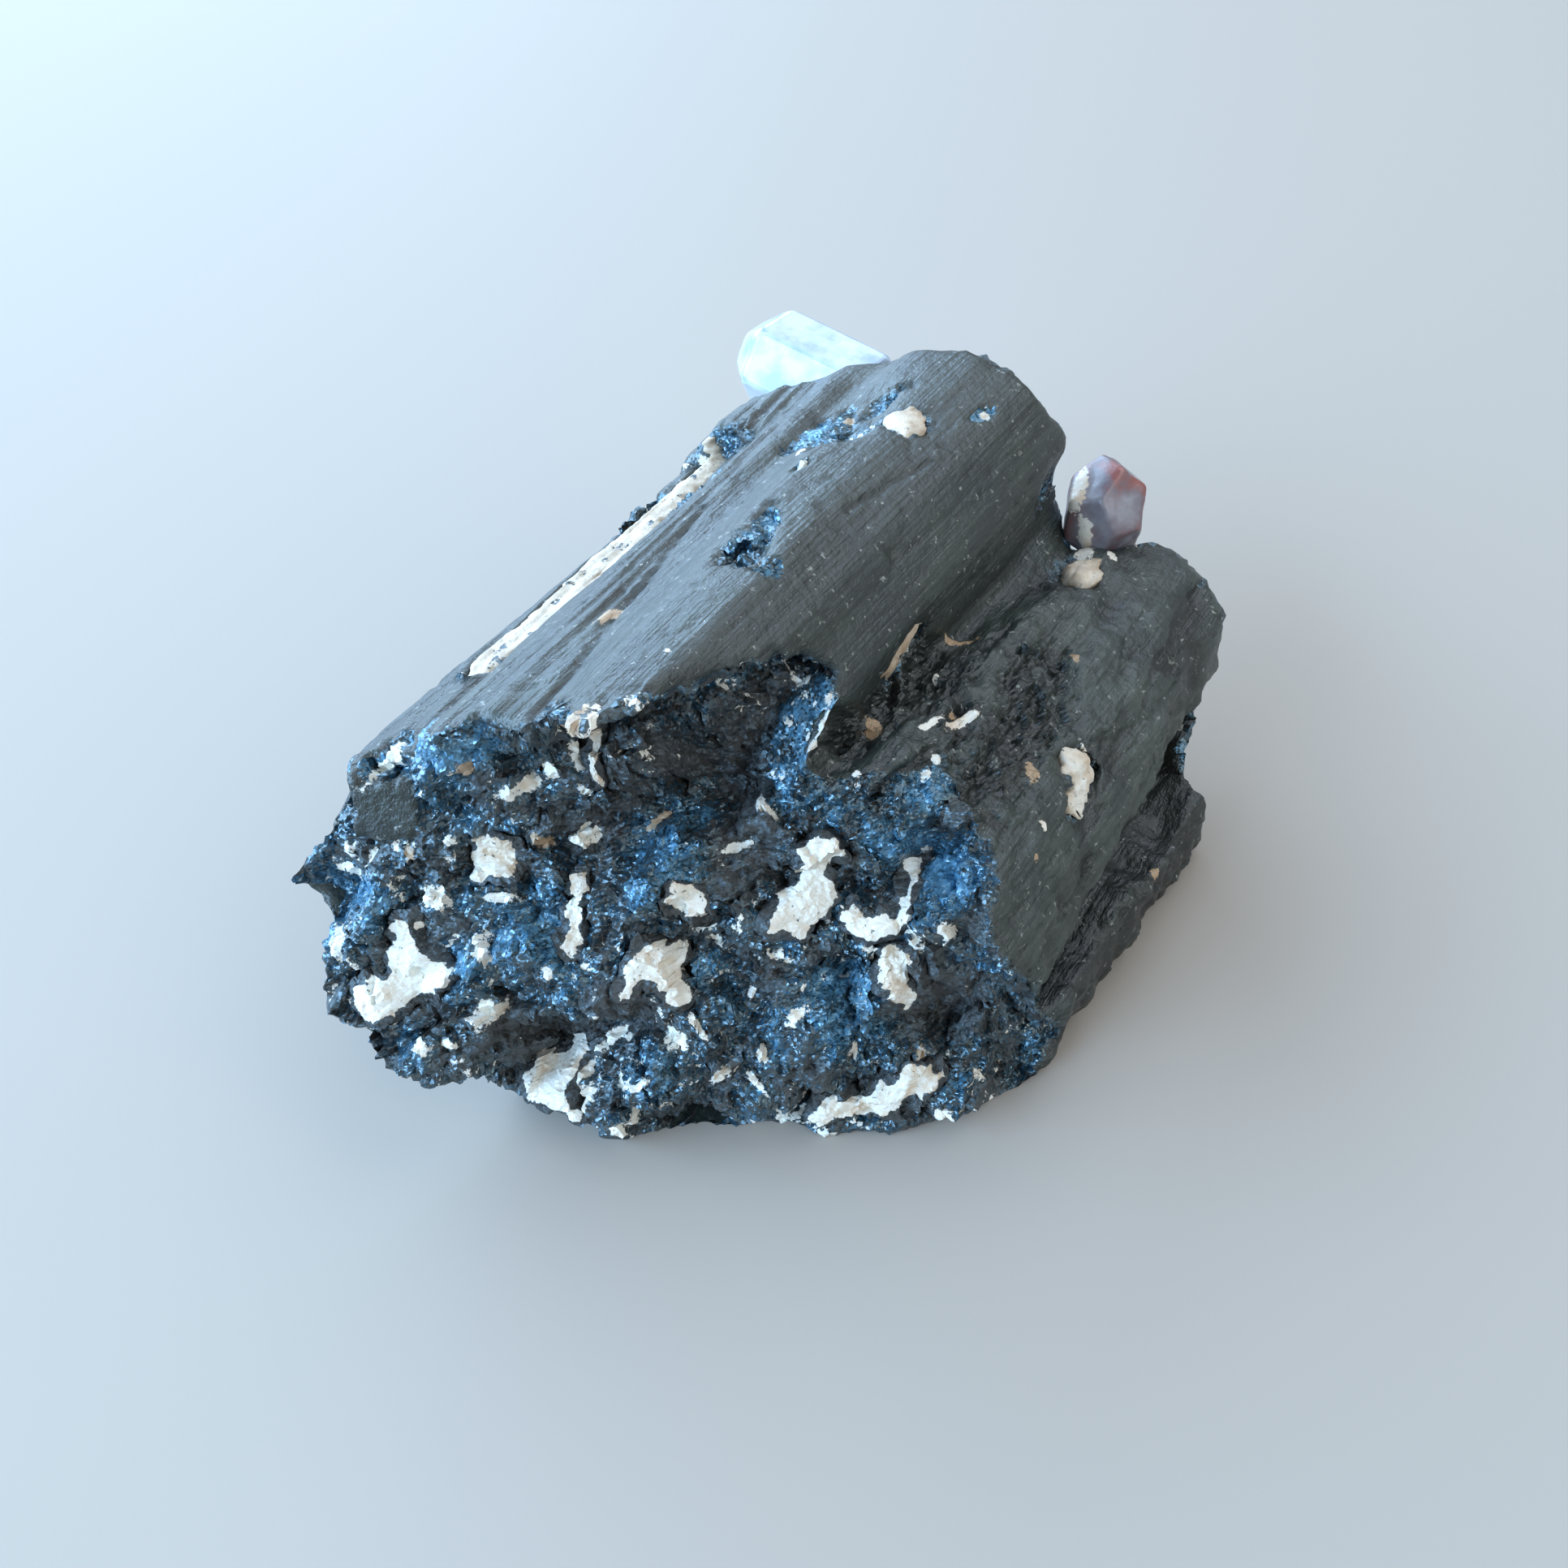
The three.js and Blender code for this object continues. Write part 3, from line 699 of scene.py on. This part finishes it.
schorl = even_grid(copy_of("schorl_cluster"), GRID)
soften(schorl.verts, schorl, 1)
schorl.normal_update()
broken = mark_breaks(schorl)
soften([vert for vert in schorl.verts if vert[broken] < 0.5], schorl, 4)
soften([vert for vert in schorl.verts if vert.co.y > 20 * MM and vert.co.z > 12 * MM], schorl, 10)
schorl.normal_update()
edges = list({edge for face in schorl.faces if needs_fine_grid(face) for edge in face.edges})
bmesh.ops.subdivide_edges(schorl, edges=edges, cuts=1, use_grid_fill=True)
print("vertices:", len(schorl.verts), "of them on breaks:", sum(vert[broken] > 0.5 for vert in schorl.verts))

# %% Layers for the patches, chips and scars
white, stained, chipped, scarred, worn, glassy = [
    schorl.verts.layers.float.new(name)
    for name in ("feldspar", "stained", "chipped", "scarred", "worn", "glassy")
]
broken = schorl.verts.layers.float["broken"]  # a new layer makes the old names of the others void
schorl.verts.ensure_lookup_table()
schorl.verts.index_update()
schorl.normal_update()
lay_patches(schorl, WHITE_PATCHES + TAN_PATCHES, white)
lay_patches(schorl, TAN_PATCHES, stained)
lay_patches(schorl, CHIPS, chipped)
lay_patches(schorl, SCARS, scarred)
print("vertices in patches:", sum(vert[white] > 0 for vert in schorl.verts))

# %% [markdown]
# Then each vertex moves twice: with the large blocks of its break or onto its flat, and then along its
# own normal by the finer relief of its kind of surface. Nothing moves where the stone meets the table.

# %% The relief goes onto the tourmaline
FREE_HEIGHT = 1.5 * MM  # the relief grows from nothing at the table to its full height here
CHIP_EDGE, SCAR_EDGE, PATCH_EDGE = (0.4, 0.6), (0.1, 0.5), (0.3, 0.7)  # where in its layer a spot sets in
CHIP_DEPTH, SCAR_DEPTH = 0.3, 0.4  # mm
FAR_ROUGHNESS = 0.5  # the far break is smoother than the near one by this factor


def held(place):
    """0 where the stone meets the table and 1 above, so that its resting face stays flat."""
    return fade(place.z, 0, FREE_HEIGHT)


for vert in schorl.verts:
    place = vert.co.copy()
    free = held(place)
    is_far = place.y >= MIDWAY
    share = vert[broken]
    dull, dull_move = flatness(place, "parting_face")
    bright, bright_move = flatness(place, "hollow_wall")
    if is_far:
        vert.co += ALONG * 1.5 * (blocks(place, 6 * MM) - SUNK) * MM * share * free
    else:
        vert.co += OUTWARDS * push(place) * share * (1 - dull) * (1 - bright) * free
    vert.co += dull_move * dull + bright_move * bright
    ragged = 0.25 * lumps(place, 1.5 * MM)
    chip = fade(vert[chipped] + ragged, *CHIP_EDGE) * (1 - share)
    scar = fade(vert[scarred] + 1.4 * ragged, *SCAR_EDGE) * (1 - share)
    rough = (max(share, chip) * (1 - dull)) * (1 - 0.75 * bright) * (FAR_ROUGHNESS if is_far else 1)
    ribbed = side_relief(place)
    foot = fade(place.x, 18 * MM, 20 * MM) * (1 - fade(place.z, 8 * MM, 11 * MM))
    # Painted reflection: this layer also sets the break's painted blue sheen, raised on the wall of the
    # hollow that mirrors the window and on the chips.
    vert[glassy] = gloss_and_sheen(place) + 0.6 * bright + 0.6 * vert[chipped]
    # Painted shade: this layer darkens the sides where the relief is low, in the grooves, cracks and
    # crevice, and over the foot, which lies in shade; the scars lower it too.
    vert[worn] = ribbed / MM - 0.35 * scar - 0.5 * foot
    height = (1 - max(share, chip)) * ribbed + rough * break_relief(place) + scar * crumbled_relief(place)
    height -= (CHIP_DEPTH * chip + SCAR_DEPTH * scar) * MM
    height += fade(vert[white], *PATCH_EDGE) * (0.12 + 0.15 * lumps(place, 0.8 * MM)) * MM
    vert.co += vert.normal * height * free
    vert.co.z = max(0, vert.co.z)
    vert[broken] = max(share, chip) * (1 - dull)
print("the relief's highest point, mm:", round(max(vert.co.z for vert in schorl.verts) / MM, 1))

# %% Which faces are broken
for face in schorl.faces:
    share = sum(vert[broken] for vert in face.verts) / len(face.verts)
    face.material_index = 1 if share + 0.25 * lumps(face.calc_center_median(), 1 * MM) > 0.5 else 0
    crumbled = sum(vert[scarred] for vert in face.verts) / len(face.verts) > 0.25
    face.smooth = face.material_index == 0 and not crumbled
print("tourmaline faces:", len(schorl.faces), "of them broken:", sum(f.material_index for f in schorl.faces))


# %% [markdown]
# ## The finish of the tourmaline
#
# Feldspar shows on the tourmaline too, in the patches. So its tone and the outline of the patches are set
# first, and both of the tourmaline's materials take them in. Feldspar is cream-white where it is fresh,
# and iron stains it tan.

# %% The tone of feldspar
CLOUDS = 2.2 * MM  # width of the stained clouds
SPECKS = 0.5 * MM  # tourmaline dust in the cracks; real specks of 0.1 mm are drawn larger so that they show


def feldspar_tone(tree, place, stain):
    """Cream-white, turned tan by iron where the stain is high, with tourmaline dust in the cracks."""
    cloud = add(tree, "TexNoise", {"Vector": place, "Scale": 1 / CLOUDS, "Detail": 4, "Roughness": 0.6})
    amount = add(tree, "Math", {0: cloud.outputs["Fac"], 1: stain}, operation="ADD")
    tone = add(tree, "ValToRGB", {"Fac": amount.outputs[0]},
               stops=[(0.52, "#ece6d9"), (0.68, "#d9c4aa"), (0.95, "#ad8f6e")])
    specks = add(tree, "TexNoise", {"Vector": place, "Scale": 1 / SPECKS, "Detail": 4, "Roughness": 0.65})
    dark = add(tree, "ValToRGB", {"Fac": specks.outputs["Fac"]},
               stops=[(0.30, "#4b433c"), (0.37, "#ffffff")])
    return add(tree, "Mix", {FACTOR: 1.0, COLOUR_A: tone.outputs["Color"],
                             COLOUR_B: dark.outputs["Color"]}, **TINT).outputs[COLOUR_OUT]


print("specks are drawn", round(SPECKS / MM, 1), "mm wide")

# %% Where feldspar shows
RAGGED = 0.8 * MM  # size of the teeth along a patch's outline
RAGGEDNESS = 1.4  # how much they move it
OUTLINE = (1.17, 1.22)  # from tourmaline to feldspar
BLOTS = 1.9 * MM  # size of the blots that chance puts in
REGIONS = 9 * MM  # size of the regions that have more of them
BLOT_EDGE = 0.02  # how soft the edge of a blot is
SIDE_RARITY, BREAK_RARITY = 1.02, 0.90  # how rare the blots are on the sides and on the breaks
NO_BLOTS = 2  # a rarity that no blot comes up to


def feldspar_mask(tree, place, rarity):
    """1 on feldspar: on the laid patches, with ragged outlines, and on blots that chance puts in."""
    laid = add(tree, "Attribute", attribute_name="feldspar").outputs["Fac"]
    ragged = add(tree, "TexNoise", {"Vector": place, "Scale": 1 / RAGGED, "Detail": 5, "Roughness": 0.72})
    patch = add(tree, "Math", {0: ragged.outputs["Fac"], 1: RAGGEDNESS, 2: laid}, operation="MULTIPLY_ADD")
    inside = add(tree, "MapRange", {"Value": patch.outputs[0],
                                    "From Min": OUTLINE[0], "From Max": OUTLINE[1]})
    blot = add(tree, "TexNoise", {"Vector": place, "Scale": 1 / BLOTS, "Detail": 6, "Roughness": 0.65,
                                  "Distortion": 0.2})
    region = add(tree, "TexNoise", {"Vector": place, "Scale": 1 / REGIONS, "Detail": 1})
    both = add(tree, "Math", {0: region.outputs["Fac"], 1: 0.5, 2: blot.outputs["Fac"]},
               operation="MULTIPLY_ADD")
    spots = add(tree, "MapRange", {"Value": both.outputs[0], "From Min": rarity,
                                   "From Max": rarity + BLOT_EDGE})
    return add(tree, "Math", {0: inside.outputs[0], 1: spots.outputs[0]}, operation="MAXIMUM").outputs[0]


print("chance blots are about", round(BLOTS / MM, 1), "mm wide")

# %% [markdown]
# The sides keep the skin that the prisms grew with. It is satin, because the finest ribs spread the light
# a little. Its grooves, cracks and crevice and the foot get painted shade, so that they are darker than its
# high ribs; its scars are darker too. Pale dust sits in its pits.

# %% Schorl, natural prism face
DRAWN = (1, 0.045, 1)  # the ribs' noise changes this slowly along the prisms
FINE_RIBS = 0.45 * MM  # real ones go down to 0.1 mm, and are drawn wider so that they show
WIDE_RIBS = 1.4 * MM
TONE_CLOUDS = 7 * MM
PITS = 0.9 * MM
DUST = 0.8 * MM  # its motes' noise; motes of under 0.1 mm are drawn larger so that they show
DUST_EDGE = (0.62, 0.66)  # the noise of a mote, from its edge to its middle
DUST_COVER = 0.7  # dust lets some of the black through
SATIN = (0.24, 0.6)  # the skin's roughness, from its smoothest parts to its pits
PIT_SHARE, WIDE_SHARE = 1.4, 1.2  # how deep the pits and the wide ribs are, next to the fine ribs
SCHORL_IOR = 1.64


def rib_tone(tree, place, fine, grain):
    """A prism side's base tone: olive-black clouds, with painted shade between the ribs and in the hollows.
    """
    cloud = add(tree, "TexNoise", {"Vector": place, "Scale": 1 / TONE_CLOUDS, "Detail": 3})
    tone = add(tree, "ValToRGB", {"Fac": cloud.outputs["Fac"]}, stops=[(0.35, "#333e3b"), (0.65, "#475149")])
    # Painted shade: the tone darkens where the noise of the fine ribs and pits, which also drives the bump,
    # is low.
    mottle = add(tree, "Math", {0: grain, 1: 0.5, 2: fine}, operation="MULTIPLY_ADD")
    streak = add(tree, "ValToRGB", {"Fac": mottle.outputs[0]}, stops=[(0.55, "#a4a4a4"), (0.95, "#ffffff")])
    ribbed = add(tree, "Mix", {FACTOR: 1.0, COLOUR_A: tone.outputs["Color"],
                               COLOUR_B: streak.outputs["Color"]}, **TINT).outputs[COLOUR_OUT]
    # Painted shade: low relief, the foot and the scars are darkened here, and the high ribs keep the full
    # tone.
    relief = add(tree, "Attribute", attribute_name="worn").outputs["Fac"]
    high = add(tree, "MapRange", {"Value": relief, "From Min": -0.45, "From Max": 0.45})
    painted_shade = add(tree, "ValToRGB", {"Fac": high.outputs[0]},
               stops=[(0.0, "#868686"), (0.45, "#d0d0d0"), (1.0, "#ffffff")])
    return add(tree, "Mix", {FACTOR: 1.0, COLOUR_A: ribbed,
                             COLOUR_B: painted_shade.outputs["Color"]}, **TINT).outputs[COLOUR_OUT]


def prism_face():
    """Schorl, as grown: satin, faintly olive, with fine ribs down its length and pale dust in its pits."""
    material, tree, shader = new_material("schorl_prism_face")
    place = add(tree, "TexCoord").outputs["Object"]
    drawn = add(tree, "Mapping", {"Vector": place, "Scale": DRAWN}).outputs["Vector"]
    fine = add(tree, "TexNoise", {"Vector": drawn, "Scale": 1 / FINE_RIBS, "Detail": 3, "Roughness": 0.6})
    wide = add(tree, "TexNoise", {"Vector": drawn, "Scale": 1 / WIDE_RIBS, "Detail": 3})
    grain = add(tree, "TexNoise", {"Vector": place, "Scale": 1 / PITS, "Detail": 4, "Roughness": 0.65})
    stone = rib_tone(tree, place, fine.outputs["Fac"], grain.outputs["Fac"])
    motes = add(tree, "TexNoise", {"Vector": place, "Scale": 1 / DUST, "Detail": 5, "Roughness": 0.75})
    dust = add(tree, "MapRange", {"Value": motes.outputs["Fac"], "From Min": DUST_EDGE[0],
                                  "From Max": DUST_EDGE[1], "To Max": DUST_COVER})
    dusty = add(tree, "Mix", {FACTOR: dust.outputs[0], COLOUR_A: stone,
                              COLOUR_B: colour("#a9aca4")}, **COVER)
    stain = add(tree, "Attribute", attribute_name="stained").outputs["Fac"]
    mask = feldspar_mask(tree, place, SIDE_RARITY)
    base = add(tree, "Mix", {FACTOR: mask, COLOUR_A: dusty.outputs[COLOUR_OUT],
                             COLOUR_B: feldspar_tone(tree, place, stain)}, **COVER)
    rough = add(tree, "MapRange", {"Value": grain.outputs["Fac"], "To Min": SATIN[0], "To Max": SATIN[1]})
    height = add(tree, "Math", {0: grain.outputs["Fac"], 1: PIT_SHARE, 2: fine.outputs["Fac"]},
                 operation="MULTIPLY_ADD")
    total = add(tree, "Math", {0: wide.outputs["Fac"], 1: WIDE_SHARE, 2: height.outputs[0]},
                operation="MULTIPLY_ADD")
    bump = add(tree, "Bump", {"Height": total.outputs[0], "Strength": 0.7, "Distance": 0.25 * MM})
    fill(tree, shader, {"Base Color": base.outputs[COLOUR_OUT], "Roughness": rough.outputs[0],
                        "Normal": bump.outputs["Normal"], "IOR": SCHORL_IOR})
    return material


prism_material = prism_face()
print("material:", prism_material.name)

# %% [markdown]
# A fresh break is a crowd of glassy grains, and what the eye sees is each grain's own mirror. Modelling
# them all would take millions of faces. So each cell of a fine pattern tilts the surface's normal its own
# way, and the lights do the rest. Some grains are painted steel blue, as a painted reflection of the cool
# window: some by chance, and more where the break leans towards the window.

# %% Schorl, fresh break: each grain leans its own way
GRAINS = 0.25 * MM  # real ones go down to 0.1 mm, and are drawn larger so that they show
CLUMPS = 1.1 * MM  # grains lean alike in clumps of this size
GRAIN_TILT, CLUMP_TILT = 0.8, 0.45
GLITTER = 1.0  # the shader's own level is 0.5; a crowd of small faces throws back more than one face does
CENTRED = (0.5, 0.5, 0.5)  # taken from random numbers of 0 to 1, so that they lean to both sides


def tilted_grains(tree, place):
    """The pattern of grains, and the normal of each one."""
    grain = add(tree, "TexVoronoi", {"Vector": place, "Scale": 1 / GRAINS})
    clump = add(tree, "TexVoronoi", {"Vector": place, "Scale": 1 / CLUMPS})
    normal = add(tree, "NewGeometry").outputs["Normal"]
    for pattern, tilt in ((grain, GRAIN_TILT), (clump, CLUMP_TILT)):
        draw = add(tree, "VectorMath", {0: pattern.outputs["Color"], 1: CENTRED}, operation="SUBTRACT")
        lean = add(tree, "VectorMath", {0: draw.outputs[0], "Scale": tilt}, operation="SCALE")
        normal = add(tree, "VectorMath", {0: normal, 1: lean.outputs[0]}, operation="ADD").outputs[0]
    return grain, add(tree, "VectorMath", {0: normal}, operation="NORMALIZE").outputs[0]


print("grains are drawn", round(GRAINS / MM, 2), "mm wide, in clumps of", round(CLUMPS / MM, 1))


# %% Schorl, fresh break, with feldspar in it
# Painted reflection: the blue that chance and glassiness give a grain stands for the cool window mirrored in
# it.
CHANCE_SHARE, GLASS_SHARE = 0.5, 0.55  # how much chance and glassiness make a grain blue, not brown
CRUMBLED = (0.1, 0.6)  # from wholly crumbled to not at all, on the scale of glassiness
CRUMBLED_DULL = 0.4  # how much rougher a crumbled part is
GLASSY, GLASSY_SPREAD = 0.15, 0.26  # roughness of the smoothest grain, and how much chance adds
FELDSPAR_ROUGH = 0.6
CLEAVAGE = 0.4 * MM  # size of the pits and steps in feldspar


def fresh_break(name, rarity):
    """Schorl, snapped across: glassy brown-black grains, each a mirror that leans its own way, some
    painted blue as a reflection of the cool window.

    Where the mask says so it is feldspar instead, matt and cream-white."""
    material, tree, shader = new_material(name)
    place = add(tree, "TexCoord").outputs["Object"]
    grain, facet = tilted_grains(tree, place)
    parts = add(tree, "SeparateColor", {"Color": grain.outputs["Color"]})
    glass_and_sheen = add(tree, "Attribute", attribute_name="glassy").outputs["Fac"]
    even = add(tree, "Math", {0: parts.outputs[1], 1: CHANCE_SHARE}, operation="MULTIPLY")
    blue = add(tree, "Math", {0: glass_and_sheen, 1: GLASS_SHARE, 2: even.outputs[0]}, operation="MULTIPLY_ADD")
    # Painted reflection: the two blue stops are the cool window mirrored in the grains; the brown-black
    # stops are the stone's own tone.
    tone = add(tree, "ValToRGB", {"Fac": blue.outputs[0]},
               stops=[(0.36, "#382c22"), (0.56, "#1f2526"), (0.82, "#2f5064"), (1.0, "#5c8dab")])
    dull = add(tree, "MapRange", {"Value": glass_and_sheen, "From Min": CRUMBLED[0], "From Max": CRUMBLED[1],
                                  "To Min": CRUMBLED_DULL, "To Max": 0})
    finish = add(tree, "Math", {0: parts.outputs[0], 1: GLASSY_SPREAD, 2: GLASSY}, operation="MULTIPLY_ADD")
    finish = add(tree, "Math", {0: finish.outputs[0], 1: dull.outputs[0]}, operation="ADD")
    stain = add(tree, "Attribute", attribute_name="stained").outputs["Fac"]
    mask = feldspar_mask(tree, place, rarity)
    base = add(tree, "Mix", {FACTOR: mask, COLOUR_A: tone.outputs["Color"],
                             COLOUR_B: feldspar_tone(tree, place, stain)}, **COVER)
    rough = add(tree, "Mix", {FACTOR: mask, NUMBER_A: finish.outputs[0], NUMBER_B: FELDSPAR_ROUGH})
    pits = add(tree, "TexNoise", {"Vector": place, "Scale": 1 / CLEAVAGE, "Detail": 4, "Roughness": 0.6})
    bump = add(tree, "Bump", {"Height": pits.outputs["Fac"], "Strength": 0.6, "Distance": 0.16 * MM})
    normal = add(tree, "Mix", {FACTOR: mask, VECTOR_A: facet, VECTOR_B: bump.outputs["Normal"]},
                 data_type="VECTOR")
    fill(tree, shader, {"Base Color": base.outputs[COLOUR_OUT], "Roughness": rough.outputs[NUMBER_OUT],
                        "Normal": normal.outputs[VECTOR_OUT], "IOR": SCHORL_IOR})
    fill(tree, shader, {"Specular IOR Level": GLITTER, "Specular Tint": colour("#cdf0ff")})
    return material


break_material = fresh_break("schorl_fresh_break", BREAK_RARITY)
finished_piece("tourmaline", schorl, [prism_material, break_material], "schorl_cluster")


# %% [markdown]
# ## Feldspar
#
# Feldspar fills whatever room the prisms left it, so a grain has no shape of its own, only a ragged
# outline. Each grain starts from its solid, swells sideways until it bites into the tourmaline round it,
# and is roughened. On the break its rim is mixed with tourmaline grains, which break up its outline. A
# grain on a prism's side is bare feldspar with the ribs running on over it, and the long streaks have
# blots of tourmaline.

# %% Which grains are which
feldspar = fresh_break("feldspar_broken", NO_BLOTS)
ON_SIDES = ("left_vein", "side_patch", "groove_streak", "crown_patch", "far_patch")
VEINED = ("left_vein", "groove_streak")  # these have blots of tourmaline in them
STAINS = {  # how far iron has stained each grain
    "groove_streak": 0.3, "rag": 0.11, "knot": 0.12, "bone": 0.07, "foot_band": 0.06, "left_vein": 0.33,
    "side_patch": 0.14, "far_patch": 0.28, "crown_patch": 0.28, "fleck": 0.08, "fork": 0.05,
    "lip_streak": 0.1,
}
print("grains on the prisms' sides:", ", ".join(ON_SIDES))

# %% [markdown]
# A grain's faces are of three kinds. Those with nothing in front of them look out of the socket. Of those
# with tourmaline close in front of them, the ones that face backwards are the floor, and the rest are the
# walls.

# %% The walls and the opening of a grain's socket
SOCKETS = BVHTree.FromBMesh(copy_of("schorl_cluster"))
SOCKET_GAP = 1 * MM  # a face that has tourmaline this close in front of it is in its socket
FLOOR = -0.7  # a face in the socket that faces the opening by less than this is its floor


def in_socket(face):
    """Whether a face of a grain looks at the tourmaline round it."""
    return bool(SOCKETS.ray_cast(face.calc_center_median(), face.normal, SOCKET_GAP)[0])


def socket_of(shape):
    """The way a grain's socket opens, and the walls of the socket as a tree to measure from."""
    opening = sum((face.normal * face.calc_area() for face in shape.faces if not in_socket(face)), Vector())
    opening.normalize()
    walls = [[vert.co.copy() for vert in face.verts] for face in shape.faces
             if in_socket(face) and face.normal.dot(opening) > FLOOR]
    corners = [range(3 * i, 3 * i + 3) for i in range(len(walls))]
    return opening, BVHTree.FromPolygons(sum(walls, []), corners)


wedge = copy_of("feldspar_wedge")
wedge.normal_update()
print("the wedge's socket opens towards", [round(part, 2) for part in socket_of(wedge)[0]])
wedge.free()

# %% A feldspar grain
GRAIN_GRID = 0.28 * MM
SIDE_SWELL = 0.5 * MM  # how far a grain's walls bite into the tourmaline
RIM = 0.27 * MM  # how far in from its outline a grain on the break is mixed with tourmaline
BREAK_FINISH = (3, 1, 0.15 * MM)  # times softened, unevenness of the top, and how far it is worn down
SIDE_FINISH = (6, 0.3, 0.55 * MM)
BLOT_SHARE = 0.5  # how much feldspar a blot takes away
TOP_EDGE = (0.2, 0.6)  # a part of a grain that faces the opening by this much is its top


def feldspar_piece(node):
    """A grain of feldspar from its solid: evened, swollen into its socket, and broken flat on top."""
    on_side = node.endswith(ON_SIDES)
    blot_share = BLOT_SHARE if node.endswith(VEINED) else 0
    times, uneven, sink = SIDE_FINISH if on_side else BREAK_FINISH
    shape = copy_of(node)
    shape.normal_update()
    opening, walls = socket_of(shape)
    shape = even_grid(shape, GRAIN_GRID)
    soften(shape.verts, shape, times)
    shape.normal_update()
    inside = shape.verts.layers.float.new("feldspar")
    stain = shape.verts.layers.float.new("stained")
    for vert in shape.verts:
        place = vert.co.copy()
        top = fade(vert.normal.dot(opening), *TOP_EDGE)
        if on_side:
            vert[inside] = 1 - blot_share * fade(lumps(place, 1.2 * MM, 13), 0.1, 0.35)
        else:
            depth = walls.find_nearest(place)[3]
            depth += (0.6 * lumps(place, 1.3 * MM, 3) + 0.3 * lumps(place, 0.6 * MM, 8) - 0.05) * MM
            vert[inside] = fade(depth, -0.3 * RIM, RIM) * fade(top, 0, 0.7)
        vert[stain] = STAINS.get(node.replace("feldspar_", ""), 0)
        ragged = 0.8 * lumps(place, 1.5 * MM) + 0.5 * lumps(place, 0.7 * MM)
        cleaved = uneven * (0.26 * rubble(place, 1.5 * MM) + 0.12 * rubble(place, 0.6 * MM))
        ribbed = side_relief(place) if on_side else 0
        sideways = vert.normal - opening * vert.normal.dot(opening)
        vert.co += sideways * (1 - top) * (SIDE_SWELL + ragged * MM) - opening * sink
        vert.co += vert.normal * top * (cleaved * MM + ribbed)
        if not on_side:
            vert.co += OUTWARDS * push(place) * held(place)
        vert.co.z = max(0, vert.co.z)
    for face in shape.faces:
        face.smooth = on_side
    finished_piece(node.replace("feldspar_", "grain_"), shape, [feldspar], node)


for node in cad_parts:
    if node.startswith("feldspar_"):
        feldspar_piece(node)


# %% [markdown]
# ## Quartz
#
# The quartz grew freely, so its faces are flat and glassy and its edges nearly sharp. Bubbles too small
# to see cloud it, so it is part see-through and part white. Its solid already has the form and only needs
# its edges rounded, so it isn't remeshed.

# %% The quartz crystal
VEILS = 3 * MM  # size of the clouds in it
EDGE_ROUND = 0.35 * MM


def milky_quartz():
    """Quartz, as grown: glassy faces over a body clouded by tiny bubbles."""
    material, tree, shader = new_material("milky_quartz")
    place = add(tree, "TexCoord").outputs["Object"]
    veil = add(tree, "TexNoise", {"Vector": place, "Scale": 1 / VEILS, "Detail": 5})
    tone = add(tree, "ValToRGB", {"Fac": veil.outputs["Fac"]}, stops=[(0.38, "#a6bbd2"), (0.6, "#dde6ee")])
    fill(tree, shader, {"Base Color": tone.outputs["Color"], "Roughness": 0.12, "IOR": 1.544,
                        "Transmission Weight": 0.35})
    return material


shape = copy_of("quartz_crystal")
bmesh.ops.bevel(shape, geom=shape.edges[:], affect="EDGES", offset=EDGE_ROUND, segments=2, profile=0.5,
                material=-1)
finished_piece("quartz", shape, [milky_quartz()], "quartz_crystal")


# %% [markdown]
# ## Garnet
#
# The garnet is old and worn, so its faces are dull and its edges soft. Its skin is purple-grey, and red-
# brown where it is bare. A crust of the feldspar that it grew against still sits on its left face. The
# crust is laid in the same way as the patches on the tourmaline, and stands a little proud.

# %% The finish of the garnet
SKIN_CLOUDS = 3.5 * MM


def worn_garnet():
    """Garnet, worn: a dull dark purple-grey skin with red-brown where it is bare."""
    material, tree, shader = new_material("worn_garnet")
    place = add(tree, "TexCoord").outputs["Object"]
    cloud = add(tree, "TexNoise", {"Vector": place, "Scale": 1 / SKIN_CLOUDS, "Detail": 4})
    tone = add(tree, "ValToRGB", {"Fac": cloud.outputs["Fac"]},
               stops=[(0.38, "#905049"), (0.50, "#766a71"), (0.66, "#97959c")])
    stain = add(tree, "Attribute", attribute_name="stained").outputs["Fac"]
    base = add(tree, "Mix", {FACTOR: feldspar_mask(tree, place, NO_BLOTS), COLOUR_A: tone.outputs["Color"],
                             COLOUR_B: feldspar_tone(tree, place, stain)}, **COVER)
    bump = add(tree, "Bump", {"Height": cloud.outputs["Fac"], "Strength": 0.5, "Distance": 0.5 * MM})
    fill(tree, shader, {"Base Color": base.outputs[COLOUR_OUT], "Roughness": 0.4, "IOR": 1.79,
                        "Normal": bump.outputs["Normal"]})
    return material


garnet_material = worn_garnet()
print("material:", garnet_material.name)

# %% The garnet
CRUST = [((8, 34.6, 27), 4.5, 1.7, -25), ((9.6, 33.2, 23.5), 3, 1.4, 10)]  # laid as the patches are
CRUST_PROUD, CRUST_STAIN = 0.25, 0.1  # how far it stands out, in mm, and how stained it is

shape = even_grid(copy_of("garnet_crystal"), 0.3 * MM)
soften(shape.verts, shape, 3)
shape.verts.ensure_lookup_table()
shape.verts.index_update()
shape.normal_update()
crusted, tinted = [shape.verts.layers.float.new(name) for name in ("feldspar", "stained")]
lay_patches(shape, CRUST, crusted)
for vert in shape.verts:
    vert[tinted] = CRUST_STAIN
    uneven = 0.2 * lumps(vert.co, 2.2 * MM)
    vert.co += vert.normal * (uneven + CRUST_PROUD * fade(vert[crusted], *PATCH_EDGE)) * MM
for face in shape.faces:
    face.smooth = True
finished_piece("garnet", shape, [garnet_material], "garnet_crystal")
